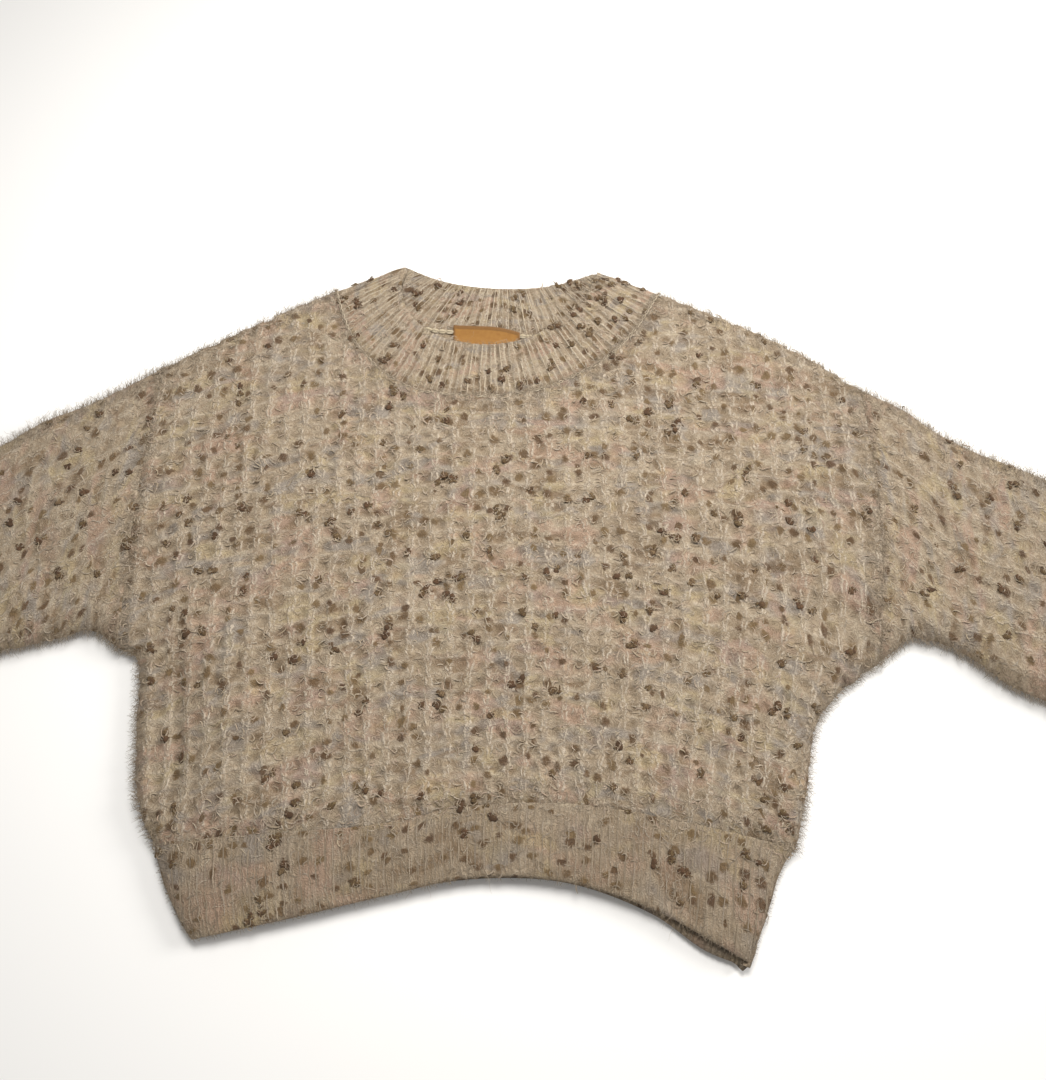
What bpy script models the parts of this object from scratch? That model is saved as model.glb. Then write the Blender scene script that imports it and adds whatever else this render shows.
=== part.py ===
"""A cropped, boxy pullover in a thick brushed knit, laid flat with its sleeves out.

Each cut piece is a wall of cloth of its own. The back lies on the table and the front lies on
the back. Both turn round a soft fold at the sides, the shoulders and the sleeves, where their
edges meet. Working lengths are millimetres: x runs to the right from the centre line, y runs from
the hem towards the neck and z runs up from the table. The last step moves the origin under the
middle of the sweater and turns millimetres into metres.
"""

import math
from collections import namedtuple

import bpy
import numpy as np

MM = 0.001

# ---------------------------------------------------------------- driving sizes, in millimetres

WALL = 5.0  # thickness of the knit
LOFT = 2.2  # air left between the front and the back
SEAM_GAP = 0.4  # between two pieces that are sewn together
CROWN = 1.5  # extra height of the front away from its folded edges
CROWN_REACH = 90.0  # distance from a folded edge at which the crown is full
TOP_ROUND = 18.0  # how far in from a fold the front has risen to its height
TABLE_ROUND = 11.0  # how far in from a fold the back has come down to the table
LEAST_AIR = 0.7  # the front never comes closer than this to the back

BLOUSE_RISE = 2.4  # the body puffs out over the ribbed hem
BLOUSE_UP = 16.0  # height of that puff's top above the hem's seam
EDGE_SOFTEN = 1.6  # drop of an open ribbed edge
EDGE_SOFTEN_REACH = 0.08  # share of the rib's depth over which it drops

RIB_RISE = 0.9  # crest of a rib above the mean surface, and valley below it
HEM_RIBS = 86
CUFF_RIBS = 18
NECK_RIBS_FRONT = 36
NECK_RIBS_BACK = 28

LABEL_WIDTH = 53.0
LABEL_HEIGHT = 22.0
LABEL_THICKNESS = 0.7
LABEL_LIFT = 1.2  # over the back panel, so that its top lies clear of the neckband's ribs
LABEL_MIDDLE_X = -5.0
LABEL_TOP_Y = 420.2
LABEL_SLOPE = -0.047
LABEL_DROOP = 0.0067  # its right end hangs down, by this times the square of the distance

# ---------------------------------------------------------------- how the lines of points are spaced

LEAST_LEAN = 0.35  # a border that runs along a fold more closely than this isn't followed
NECK_STEPS = 16  # straight steps in the neck's seam on each panel
PANEL_TOP_ENDS = (0.25, 0.75, 1.0)  # shares of a panel's width: left shoulder, neck, right shoulder
PANEL_SIDE_ENDS = (0.4, 1.0)  # shares of a panel's height that the side and the armhole take
PANEL_WIDTH = 500.0  # mean widths and heights, which place the lines beside a rounded edge
FRONT_HEIGHT = 330.0
BACK_HEIGHT = 380.0
HEM_WIDTH = 400.0
SLEEVE_WIDTH = 165.0
CUFF_WIDTH = 95.0
CLEAR_OF_PUFF = 3.4 * BLOUSE_UP  # even rows start this far above the hem's seam
FRONT_STEPS = 5, 4, 6  # lines along a shoulder, up the side and up the armhole
BACK_STEPS = 3, 4, 4
HEM_BACK_STEPS = 12
SLEEVE_STEPS = 7, 4  # lines over a sleeve's top layer and its lower one
CUFF_STEPS = 4
HEM_FRONT_ROWS = (0, EDGE_SOFTEN_REACH, 0.5, 1)
HEM_BACK_ROWS = (0, 0.33, 0.67, 1)
NECK_ROWS = (0, 0.5, 1 - EDGE_SOFTEN_REACH, 1)
CUFF_ROWS = (0, 0.9, 1.85, 2)
LONG_STEP = 40.0  # two rows of a sleeve's table that lie further apart get a ring between them
LABEL_STEPS = 7, 4
EDGE_ANGLES = (0, math.pi / 6, math.pi / 3, math.pi / 2)  # lines round a rounded edge

SPLIT = WALL + LOFT / 2  # height at which the front's edge meets the back's
LAYERS = 2 * WALL + LOFT  # height of both layers

# ---------------------------------------------------------------- tables of the laid-out shape

Pair = namedtuple("Pair", "left_x left_y right_x right_y")
Section = namedtuple("Section", "upper_x upper_y lower_x lower_y")
HemPlace = namedtuple("HemPlace", "join_x join_y edge_x edge_y back_edge_y")
Point = namedtuple("Point", "x y")
Crease = namedtuple("Crease", "x1 y1 x2 y2 rise reach")
Spot = namedtuple("Spot", "place depth lead")

NECK_POINTS = Pair(-72, 476, 85, 471)  # where the neckband's top edge folds at each shoulder

SHOULDERS = (  # from the neckband's seam out to the armhole
    Pair(-126, 453, 134, 450),
    Pair(-160, 436.5, 166, 435),
    Pair(-195, 418, 209, 414),
    Pair(-237, 395, 247, 392),
    Pair(-257, 383, 284, 365),
)
ARMHOLES = (  # from the underarm up to the shoulder
    Pair(-264, 159, 275, 148),
    Pair(-263, 262, 288, 262),
    Pair(-257, 383, 284, 365),
)
SIDES = (  # from the hem's seam up to the underarm
    Pair(-223, 26, 205, 22),
    Pair(-233, 44, 213, 45),
    Pair(-240, 64, 219, 68),
    Pair(-243, 92, 223, 90),
    Pair(-245.5, 120, 229, 107),
    Pair(-247, 139, 241, 123),
    Pair(-251, 153, 261, 137.5),
    Pair(-264, 159, 275, 148),
)
HEM = (  # from left to right: the seam, the front's edge and the back's, which shows at the right
    HemPlace(-223, 26, -191, -34, -34),
    HemPlace(-150, 32, -130, -21.5, -20),
    HemPlace(-75, 38, -68, -7.5, -6),
    HemPlace(-10, 50, -6, 4.5, 3.5),
    HemPlace(60, 51, 55, 1, 0.5),
    HemPlace(130, 40, 110, -16, -19),
    HemPlace(175, 30, 143, -33, -41),
    HemPlace(205, 22, 170, -48, -51),
)
HEM_SIDES = (  # from the hem's edge up to its seam
    Pair(-191, -34, 170, -48),
    Pair(-199, -24, 184, -18),
    Pair(-215, 4, 195, 9),
    Pair(-223, 26, 205, 22),
)
FRONT_NECK_EDGE = (
    Point(-72, 476),
    Point(-73.5, 453),
    Point(-68, 433),
    Point(-50, 413.5),
    Point(-30, 405.5),
    Point(-4, 402),
    Point(22, 406),
    Point(40, 414.5),
    Point(57, 427),
    Point(71, 441),
    Point(78, 453),
    Point(85, 471),
)
FRONT_NECK_SEAM = (
    Point(-126, 453),
    Point(-119, 428),
    Point(-109, 405),
    Point(-92, 383),
    Point(-64, 363),
    Point(-25, 356),
    Point(10, 356),
    Point(40, 362),
    Point(68, 375),
    Point(92, 391),
    Point(112, 413),
    Point(134, 450),
)
BACK_NECK_EDGE = (
    Point(-72, 476),
    Point(-40, 463),
    Point(0, 456.5),
    Point(45, 458.5),
    Point(85, 471),
)
BACK_NECK_SEAM = (
    Point(-126, 453),
    Point(-90, 435.5),
    Point(-50, 419.5),
    Point(-5, 417),
    Point(40, 413.5),
    Point(90, 428),
    Point(134, 450),
)
LEFT_SLEEVE = (  # from the armhole to the cuff's seam
    Section(-257, 383, -264, 159),
    Section(-283, 367, -285, 172),
    Section(-311, 351, -306, 167),
    Section(-343, 337, -328, 161),
    Section(-374, 316, -347, 157),
    Section(-440, 285, -405, 131),
    Section(-525, 249, -487, 105),
    Section(-600, 215, -560, 81),
    Section(-645, 189, -604, 77),
    Section(-664, 174, -630, 74),
)
RIGHT_SLEEVE = (
    Section(284, 365, 275, 148),
    Section(296, 358, 288, 157),
    Section(316, 347, 301, 166),
    Section(343, 325, 320, 163),
    Section(367, 311, 343, 151),
    Section(394, 299, 366, 133),
    Section(418, 288, 389, 122),
    Section(501, 243, 449, 94),
    Section(582, 198, 519, 62),
    Section(638, 164, 577, 38),
    Section(661, 143, 607, 34),
    Section(676, 127, 630, 31),
)
LEFT_CUFF = (
    Section(-664, 174, -630, 74),
    Section(-695, 161, -660, 69),
    Section(-725, 146, -693, 58),
)
RIGHT_CUFF = (
    Section(676, 127, 630, 31),
    Section(703, 107, 663, 18),
    Section(732, 91, 691, 8),
)
CREASES = (  # soft ridges (rise above 0) and troughs in the upper cloth, each fading out at its two ends
    Crease(-262, 172, -176, 250, -1.9, 13),
    Crease(-246, 148, -196, 196, 1.7, 11),
    Crease(-236, 60, -170, 118, -1.8, 15),
    Crease(-226, 104, -180, 60, 1.2, 12),
    Crease(-214, 34, -228, 172, -5, 13),
    Crease(-176, 34, -192, 200, 4.6, 30),
    Crease(270, 160, 186, 232, -1.8, 14),
    Crease(252, 142, 196, 176, 1.6, 11),
    Crease(214, 64, 168, 104, -1.4, 13),
    Crease(-60, 66, 30, 74, -0.9, 12),
    Crease(-298, 178, -352, 252, -1.7, 12),
    Crease(-318, 190, -400, 216, 1.5, 12),
    Crease(-462, 140, -500, 214, -1.6, 12),
    Crease(-484, 128, -556, 176, 1.4, 12),
    Crease(-590, 106, -622, 160, -1.3, 10),
    Crease(312, 178, 356, 246, -1.7, 12),
    Crease(334, 176, 420, 196, 1.5, 13),
    Crease(452, 118, 506, 196, -1.6, 13),
    Crease(500, 92, 574, 140, 1.4, 12),
    Crease(586, 62, 632, 118, -1.3, 10),
)

# ---------------------------------------------------------------- lines


def column(rows, *names):
    """The named columns of a table, as an array of points."""
    return np.array([[getattr(row, name) for name in names] for row in rows], float)


def smooth(points, places):
    """Points of a smooth curve through a table's rows, where place 0 is the first row and 1 the next."""
    knots = np.concatenate([[0], np.cumsum(np.sqrt(np.linalg.norm(np.diff(points, axis=0), axis=1)))])
    steps = np.diff(knots)[:, None]
    slopes = np.diff(points, axis=0) / steps
    middle = (slopes[:-1] * steps[1:] + slopes[1:] * steps[:-1]) / (steps[:-1] + steps[1:])
    tangents = np.vstack([slopes[:1], middle, slopes[-1:]])
    places = np.asarray(places, float)
    row = np.minimum(places.astype(int), len(points) - 2)
    t = (places - row)[:, None]
    step = steps[row]
    return (
        (2 * t**3 - 3 * t**2 + 1) * points[row]
        + (t**3 - 2 * t**2 + t) * step * tangents[row]
        + (3 * t**2 - 2 * t**3) * points[row + 1]
        + (t**3 - t**2) * step * tangents[row + 1]
    )


def traced(points, per_row=10):
    """A dense line through a table's rows."""
    return smooth(points, np.linspace(0, len(points) - 1, per_row * (len(points) - 1) + 1))


def cut(line, shares):
    """Points at shares of a dense line's length."""
    lengths = np.concatenate([[0], np.cumsum(np.linalg.norm(np.diff(line, axis=0), axis=1))])
    wanted = np.asarray(shares) * lengths[-1]
    return np.stack([np.interp(wanted, lengths, line[:, axis]) for axis in range(line.shape[1])], axis=-1)


def moved_aside(line, distance):
    """A dense line moved to the left of its direction."""
    along = np.gradient(line, axis=0)
    along /= np.linalg.norm(along, axis=1)[:, None]
    return line + distance * np.stack([-along[:, 1], along[:, 0]], axis=1)


def cut_parts(lines, ends, shares):
    """Points along several lines laid end to end, each of which takes the shares up to its own end."""
    starts = (0.0, *ends[:-1])
    found = []
    for share in shares:
        part = next(index for index, end in enumerate(ends) if share <= end + 1e-9)
        inside = (share - starts[part]) / (ends[part] - starts[part])
        found.append(cut(lines[part], [inside])[0])
    return np.array(found)


def patch(low, high, west, east, across, up):
    """Plan points between four rows of points: rows go up, and each row runs from left to right."""
    u = np.asarray(across)[None, :, None]
    v = np.asarray(up)[:, None, None]
    corners = (1 - v) * ((1 - u) * west[0] + u * east[0]) + v * ((1 - u) * west[-1] + u * east[-1])
    return (1 - v) * low[None] + v * high[None] + (1 - u) * west[:, None] + u * east[:, None] - corners


def spaced(start, end, count):
    """Even steps from start up to but not including end."""
    return list(np.linspace(start, end, count, endpoint=False))


# ---------------------------------------------------------------- the folded outline


def side_of(rows, side):
    return column(rows, side + "_x", side + "_y")


def sleeve_line(rows, edge):
    return column(rows, edge + "_x", edge + "_y")


def folded_outline():
    """Dense lines along every fold, each with the cloth on the left of its direction."""
    lines = []
    for side, sleeve, cuff in (("left", LEFT_SLEEVE, LEFT_CUFF), ("right", RIGHT_SLEEVE, RIGHT_CUFF)):
        neck_point = side_of((NECK_POINTS,), side)
        from_neck = (
            np.vstack([neck_point, side_of(SHOULDERS[:1], side)]),
            traced(side_of(SHOULDERS, side)),
            traced(sleeve_line(sleeve, "upper")),
            traced(sleeve_line(cuff, "upper")),
        )
        from_hem = (
            traced(side_of(HEM_SIDES, side)),
            traced(side_of(SIDES, side)),
            traced(sleeve_line(sleeve, "lower")),
            traced(sleeve_line(cuff, "lower")),
        )
        turn = side == "left"
        lines += [line if turn else line[::-1] for line in from_neck]
        lines += [line[::-1] if turn else line for line in from_hem]
    return lines


class Folds:
    """Distance in from the nearest fold, and the direction that leads away from it."""

    def __init__(self, lines):
        self.start = np.vstack([line[:-1] for line in lines])
        self.run = np.vstack([np.diff(line, axis=0) for line in lines])
        self.length_squared = (self.run**2).sum(axis=1)
        self.inward = np.stack([-self.run[:, 1], self.run[:, 0]], axis=1)
        self.inward /= np.linalg.norm(self.inward, axis=1)[:, None]

    def depth(self, place):
        share = ((place - self.start) * self.run).sum(axis=1) / self.length_squared
        nearest = self.start + np.clip(share, 0, 1)[:, None] * self.run
        offset = place - nearest
        distances = np.linalg.norm(offset, axis=1)
        best = int(np.argmin(distances))
        if distances[best] < SEAM_GAP or offset[best] @ self.inward[best] < 0:
            return 0.0, self.inward[best]
        return distances[best], offset[best] / distances[best]


FOLDS = Folds(folded_outline())
HEM_SEAM = traced(column(HEM, "join_x", "join_y"))

# ---------------------------------------------------------------- heights


def quarter_round(share):
    """Rises from 0 to 1 as a quarter of an ellipse does."""
    return math.sqrt(1 - (1 - min(max(share, 0.0), 1.0)) ** 2)


def ease(share):
    share = min(max(share, 0.0), 1.0)
    return share * share * (3 - 2 * share)


def crease_rise(place):
    total = 0.0
    for crease in CREASES:
        start = np.array([crease.x1, crease.y1], float)
        run = np.array([crease.x2, crease.y2], float) - start
        share = float((place - start) @ run / (run @ run))
        if not 0 < share < 1:
            continue
        aside = np.linalg.norm(place - start - share * run) / crease.reach
        total += crease.rise * math.sin(math.pi * share) * math.exp(-aside * aside)
    return total


def body_height(place, depth):
    """Top of the front panel and of a sleeve: crowned, creased and puffed out above the hem."""
    above_hem = place[1] - float(np.interp(place[0], HEM_SEAM[:, 0], HEM_SEAM[:, 1]))
    puff = (max(above_hem, 0.0) / BLOUSE_UP) * math.exp(1 - max(above_hem, 0.0) / BLOUSE_UP)
    crown = CROWN * ease(depth / CROWN_REACH) * ease(above_hem / CROWN_REACH)
    on_body = HEM_SEAM[0, 0] - BLOUSE_UP < place[0] < HEM_SEAM[-1, 0] + BLOUSE_UP
    height = LAYERS + crown + crease_rise(place) + (BLOUSE_RISE * puff if on_body else 0.0)
    return max(height, 2 * WALL + LEAST_AIR)


def sleeve_height(place, depth):
    height = LAYERS + CROWN * ease(depth / CROWN_REACH) + crease_rise(place)
    return max(height, 2 * WALL + LEAST_AIR)


def rib_height(place, depth):
    return LAYERS


def rib_wave(index):
    """Crests and valleys by turns."""
    return RIB_RISE if index % 2 else -RIB_RISE


def upper_cloth(spot, height, edge_gap=SEAM_GAP, rib=0.0, drop=0.0):
    """(outer, inner) points of the upper layer over a spot of the plan."""
    share = spot.depth / TOP_ROUND
    base = SPLIT + edge_gap / 2
    top = height(spot.place, spot.depth)
    rise = quarter_round(share)
    inner_x, inner_y = spot.place + WALL * (1 - min(share, 1.0)) * spot.lead
    outer = (*spot.place, base + (top - base + rib - drop) * rise)
    return outer, (inner_x, inner_y, base + (top - WALL - base) * rise)


def lower_cloth(spot, edge_gap=SEAM_GAP, rib=0.0):
    """(outer, inner) points of the layer on the table, where the outer one touches the table."""
    share = spot.depth / TABLE_ROUND
    base = SPLIT - edge_gap / 2
    fall = quarter_round(share)
    inner_x, inner_y = spot.place + WALL * (1 - min(share, 1.0)) * spot.lead
    outer = (*spot.place, base * (1 - fall))
    return outer, (inner_x, inner_y, base + (WALL - base + rib) * fall)


# ---------------------------------------------------------------- walls of cloth


def wall_mesh(name, outer, inner, ring):
    """A closed wall from two grids of points. In a ring each row closes on itself."""
    outer, inner = np.asarray(outer, float), np.asarray(inner, float)
    rows, columns = outer.shape[:2]
    last = columns if ring else columns - 1

    def at(layer, row, place):
        return layer * rows * columns + row * columns + place % columns

    def cell(layer, row, place):
        near = [at(layer, row, place), at(layer, row, place + 1)]
        far = [at(layer, row + 1, place + 1), at(layer, row + 1, place)]
        return near + far

    faces = []
    for row in range(rows - 1):
        for place in range(last):
            faces.append(cell(0, row, place))
            faces.append(cell(1, row, place)[::-1])
    for place in range(last):
        faces.append([at(0, 0, place), at(1, 0, place), at(1, 0, place + 1), at(0, 0, place + 1)])
        end = rows - 1
        faces.append([at(0, end, place), at(0, end, place + 1), at(1, end, place + 1), at(1, end, place)])
    for row in range(0 if ring else rows - 1):
        end = columns - 1
        faces.append([at(0, row, 0), at(0, row + 1, 0), at(1, row + 1, 0), at(1, row, 0)])
        faces.append([at(0, row, end), at(1, row, end), at(1, row + 1, end), at(0, row + 1, end)])
    points = np.vstack([outer.reshape(-1, 3), inner.reshape(-1, 3)])
    corners = points[np.array(faces)]
    middle = corners.mean(axis=1)
    spans = np.cross(corners[:, 2] - corners[:, 0], corners[:, 3] - corners[:, 1])
    if (middle * spans).sum() < 0:
        faces = [face[::-1] for face in faces]
    return name, points, faces


def lead_in(plan, row, place, inward, ring):
    """The way from a fold into the cloth. A piece's border keeps to itself, so a seam stays upright."""
    rows, places = plan.shape[:2]
    beside = [(row, place - 1), (row, place + 1)] if row in (0, rows - 1) else []
    if not ring and place in (0, places - 1):
        beside += [(row - 1, place), (row + 1, place)]
    along = []
    for next_row, next_place in beside:
        next_place = next_place % places if ring else next_place
        if not (0 <= next_row < rows and 0 <= next_place < places):
            continue
        step = plan[next_row, next_place] - plan[row, place]
        length = np.linalg.norm(step)
        if length > SEAM_GAP / 2 and abs(step @ inward) / length > LEAST_LEAN:
            along.append(step / length * np.sign(step @ inward))
    if not along:
        return inward
    if ring and len(along) == 2:
        middle = (along[0] + along[1]) / 2
        middle /= np.linalg.norm(middle)
        turn = np.linalg.norm(along[0] - middle)
        return middle / max(middle @ inward, turn * 2 * WALL / SEAM_GAP)
    best = max(along, key=lambda way: way @ inward)
    return best / (best @ inward)


def laid(plan, cloth, ring=False):
    """The outer and inner grids of a piece. The cloth function takes a row, a place in it and their spot."""
    grid = []
    for row in range(plan.shape[0]):
        made = []
        for place in range(plan.shape[1]):
            depth, inward = FOLDS.depth(plan[row, place])
            lead = lead_in(plan, row, place, inward, ring)
            made.append(cloth(row, place, Spot(plan[row, place], depth, lead)))
        grid.append(made)
    grid = np.array(grid)
    return grid[:, :, 0], grid[:, :, 1]


def edge_shares(reach, length):
    """Shares of a length at which a rounded edge needs a line of points."""
    return [reach * (1 - math.cos(angle)) / length for angle in EDGE_ANGLES]


def both_edges(reach, length, inside):
    """Shares that are close at both ends and even between."""
    edge = edge_shares(reach, length)
    return edge[:-1] + spaced(edge[-1], 1 - edge[-1], inside) + [1 - share for share in reversed(edge)]


def armhole(side):
    return traced(side_of(ARMHOLES, side))


def neck_line(neck_seam):
    """The neck's seam as the short straight steps that the panel and the band share."""
    return cut(traced(column(neck_seam, "x", "y")), np.linspace(0, 1, NECK_STEPS + 1))


def panel_plan(neck_seam, across, up):
    """Plan of a body panel: the hem's seam, the shoulders and neck, and the sides and armholes."""
    left_shoulder = traced(side_of(SHOULDERS, "left"))[::-1]
    right_shoulder = traced(side_of(SHOULDERS, "right"))
    top = cut_parts((left_shoulder, neck_line(neck_seam), right_shoulder), PANEL_TOP_ENDS, across)
    edges = []
    for side in ("left", "right"):
        edges.append(cut_parts((traced(side_of(SIDES, side)), armhole(side)), PANEL_SIDE_ENDS, up))
    return patch(cut(HEM_SEAM, across), top, *edges, across, up)


def panel_across(reach, shoulder_steps):
    """Shares across a panel: close at the sides, and on each step of the neck's seam."""
    edge = edge_shares(reach, PANEL_WIDTH)
    neck_start, neck_end = PANEL_TOP_ENDS[:2]
    left = edge[:-1] + spaced(edge[-1], neck_start, shoulder_steps)
    neck = list(np.linspace(neck_start, neck_end, NECK_STEPS + 1))
    return left + neck + [1 - share for share in reversed(left)]


def make_front():
    shoulder_steps, side_steps, armhole_steps = FRONT_STEPS
    across = panel_across(TOP_ROUND, shoulder_steps)
    near_hem = [reach * BLOUSE_UP / FRONT_HEIGHT for reach in (0, 1 / 3, 1, 2)]
    underarm = PANEL_SIDE_ENDS[0]
    side = spaced(CLEAR_OF_PUFF / FRONT_HEIGHT, underarm, side_steps)
    top_edge = [1 - share for share in reversed(edge_shares(TOP_ROUND, FRONT_HEIGHT))]
    up = near_hem + side + spaced(underarm, top_edge[0], armhole_steps) + top_edge
    plan = panel_plan(FRONT_NECK_SEAM, across, up)
    grids = laid(plan, lambda row, place, spot: upper_cloth(spot, body_height))
    return wall_mesh("front", *grids, ring=False)


def make_back():
    shoulder_steps, side_steps, armhole_steps = BACK_STEPS
    across = panel_across(TABLE_ROUND, shoulder_steps)
    underarm = PANEL_SIDE_ENDS[0]
    top_edge = [1 - share for share in reversed(edge_shares(TABLE_ROUND, BACK_HEIGHT))]
    up = spaced(0, underarm, side_steps) + spaced(underarm, top_edge[0], armhole_steps) + top_edge
    plan = panel_plan(BACK_NECK_SEAM, across, up)
    grids = laid(plan, lambda row, place, spot: lower_cloth(spot))
    return wall_mesh("back", *grids, ring=False)


def hem_plan(edge_name, across, up):
    edge = cut(traced(column(HEM, "edge_x", edge_name)), across)
    seam = cut(moved_aside(HEM_SEAM, -SEAM_GAP), across)
    left, right = (cut(traced(side_of(HEM_SIDES, side)), up) for side in ("left", "right"))
    return patch(edge, seam, left, right, across, up)


def make_hem_front():
    across = np.linspace(0, 1, 2 * HEM_RIBS + 1)
    plan = hem_plan("edge_y", across, HEM_FRONT_ROWS)

    def cloth(row, place, spot):
        drop = EDGE_SOFTEN if row == 0 else 0
        return upper_cloth(spot, rib_height, rib=rib_wave(place), drop=drop)

    return wall_mesh("hem_front", *laid(plan, cloth), ring=False)


def make_hem_back():
    across = both_edges(TABLE_ROUND, HEM_WIDTH, HEM_BACK_STEPS)
    plan = hem_plan("back_edge_y", across, HEM_BACK_ROWS)
    grids = laid(plan, lambda row, place, spot: lower_cloth(spot))
    return wall_mesh("hem_back", *grids, ring=False)


def ring_shares(upper_count, lower_count, width):
    """Shares from the lower fold to the upper one over the top, and back from the upper fold below."""
    over = both_edges(TOP_ROUND, width, upper_count)
    under = both_edges(TABLE_ROUND, width, lower_count)[1:-1]
    return over, under[::-1]


def tube_plan(sections, places, shares, seam=None):
    """Plan of a flattened tube. Its first ring follows the seam line where one is given."""
    lower = smooth(sleeve_line(sections, "lower"), places)
    upper = smooth(sleeve_line(sections, "upper"), places)
    shares = np.array(shares)[:, None]
    rings = []
    for ring, place in enumerate(places):
        straight = lower[ring] + (upper[ring] - lower[ring]) * shares
        if seam is not None and place < 2:
            bow = cut(seam, shares[:, 0]) - (seam[0] + (seam[-1] - seam[0]) * shares)
            straight = straight + bow * (1 - place / 2)
        rings.append(straight)
    return np.array(rings)


def set_off(places, first_step, last_step, steps):
    """Places along a sleeve, moved off the seams at its two ends by a seam's gap."""
    places = np.array(places, float)
    places[0] += first_step / steps[0]
    places[-1] -= last_step / steps[1]
    return places


def row_length(rows, index):
    """Distance between a row's middle and the next row's."""
    middle = (column(rows, "upper_x", "upper_y") + column(rows, "lower_x", "lower_y")) / 2
    return float(np.linalg.norm(middle[index + 1] - middle[index]))


def make_sleeve(side, sections):
    places = [0]
    for row in range(len(sections) - 1):
        if row_length(sections, row) > LONG_STEP:
            places.append(row + 0.5)
        places.append(row + 1)
    ends = (row_length(sections, 0), row_length(sections, len(sections) - 2))
    places = set_off(places, SEAM_GAP, 0, ends)
    over, under = ring_shares(*SLEEVE_STEPS, SLEEVE_WIDTH)

    def cloth(ring, index, spot):
        if index < len(over):
            return upper_cloth(spot, sleeve_height, edge_gap=0)
        return lower_cloth(spot, edge_gap=0)

    plan = tube_plan(sections, places, over + under, seam=armhole(side))
    return wall_mesh("sleeve_" + side, *laid(plan, cloth, ring=True), ring=True)


def make_cuff(side, sections):
    over = list(np.linspace(0, 1, 2 * CUFF_RIBS + 1))
    under = both_edges(TABLE_ROUND, CUFF_WIDTH, CUFF_STEPS)[1:-1][::-1]
    ends = (row_length(sections, 0), row_length(sections, 1))
    places = set_off(CUFF_ROWS, SEAM_GAP, 0, ends)

    def cloth(ring, index, spot):
        if index >= len(over):
            return lower_cloth(spot, edge_gap=0)
        drop = EDGE_SOFTEN if ring == len(places) - 1 else 0
        return upper_cloth(spot, rib_height, edge_gap=0, rib=rib_wave(index), drop=drop)

    plan = tube_plan(sections, places, over + under)
    return wall_mesh("cuff_" + side, *laid(plan, cloth, ring=True), ring=True)


def make_neckband():
    """One ribbed loop: over the front from the left fold to the right, then back under it on the table."""
    left_fold = np.vstack([side_of(SHOULDERS[:1], "left"), side_of((NECK_POINTS,), "left")])
    right_fold = np.vstack([side_of(SHOULDERS[:1], "right"), side_of((NECK_POINTS,), "right")])
    up = NECK_ROWS
    halves = []
    for ribs, seam, edge in (
        (NECK_RIBS_FRONT, FRONT_NECK_SEAM, FRONT_NECK_EDGE),
        (NECK_RIBS_BACK, BACK_NECK_SEAM, BACK_NECK_EDGE),
    ):
        across = np.linspace(0, 1, 2 * ribs + 1)
        low = cut(moved_aside(neck_line(seam), SEAM_GAP), across)
        high = cut(traced(column(edge, "x", "y")), across)
        halves.append(patch(low, high, cut(left_fold, up), cut(right_fold, up), across, up))
    over, under = halves
    over_count = over.shape[1]
    plan = np.concatenate([over, under[:, -2:0:-1]], axis=1)

    def cloth(row, place, spot):
        if place >= over_count:
            return lower_cloth(spot, edge_gap=0, rib=rib_wave(place))
        drop = EDGE_SOFTEN if row == len(up) - 1 else 0
        return upper_cloth(spot, rib_height, edge_gap=0, rib=rib_wave(place), drop=drop)

    return wall_mesh("neckband", *laid(plan, cloth, ring=True), ring=True)


def make_label():
    """A small woven label that hangs from the back neck seam, on the inside of the back."""
    across = np.linspace(-LABEL_WIDTH / 2, LABEL_WIDTH / 2, LABEL_STEPS[0])
    down = np.linspace(LABEL_TOP_Y - LABEL_HEIGHT, LABEL_TOP_Y, LABEL_STEPS[1])
    lean = LABEL_SLOPE * across - LABEL_DROOP * np.maximum(across, 0) ** 2
    plan = np.array([np.stack([LABEL_MIDDLE_X + across, y + lean], axis=1) for y in down])
    _, on_back = laid(plan, lambda row, place, spot: lower_cloth(spot))
    outer = on_back + (0, 0, LABEL_LIFT + LABEL_THICKNESS)
    return wall_mesh("label", outer, on_back + (0, 0, LABEL_LIFT), ring=False)


# ---------------------------------------------------------------- the model

OATMEAL = (0.40, 0.31, 0.21)
OATMEAL_RIB = (0.43, 0.33, 0.23)
MUSTARD = (0.45, 0.22, 0.06)
WOOL_ROUGHNESS = 0.95
WOVEN_ROUGHNESS = 0.7
SHARP_ANGLE = 50.0  # degrees at which two faces meet in a crease


def finish(name, colour, roughness):
    material = bpy.data.materials.new(name)
    material.use_nodes = True
    shader = material.node_tree.nodes["Principled BSDF"]
    shader.inputs["Base Color"].default_value = (*colour, 1.0)
    shader.inputs["Roughness"].default_value = roughness
    shader.inputs["Metallic"].default_value = 0.0
    material.diffuse_color = (*colour, 1.0)
    return material


def add_object(piece, origin, material, collection):
    name, points, faces = piece
    mesh = bpy.data.meshes.new(name)
    mesh.from_pydata(((points - origin) * MM).tolist(), [], faces)
    mesh.validate()
    mesh.materials.append(material)
    mesh.shade_smooth()
    mesh.set_sharp_from_angle(angle=math.radians(SHARP_ANGLE))
    made = bpy.data.objects.new(name, mesh)
    collection.objects.link(made)
    return made


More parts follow.
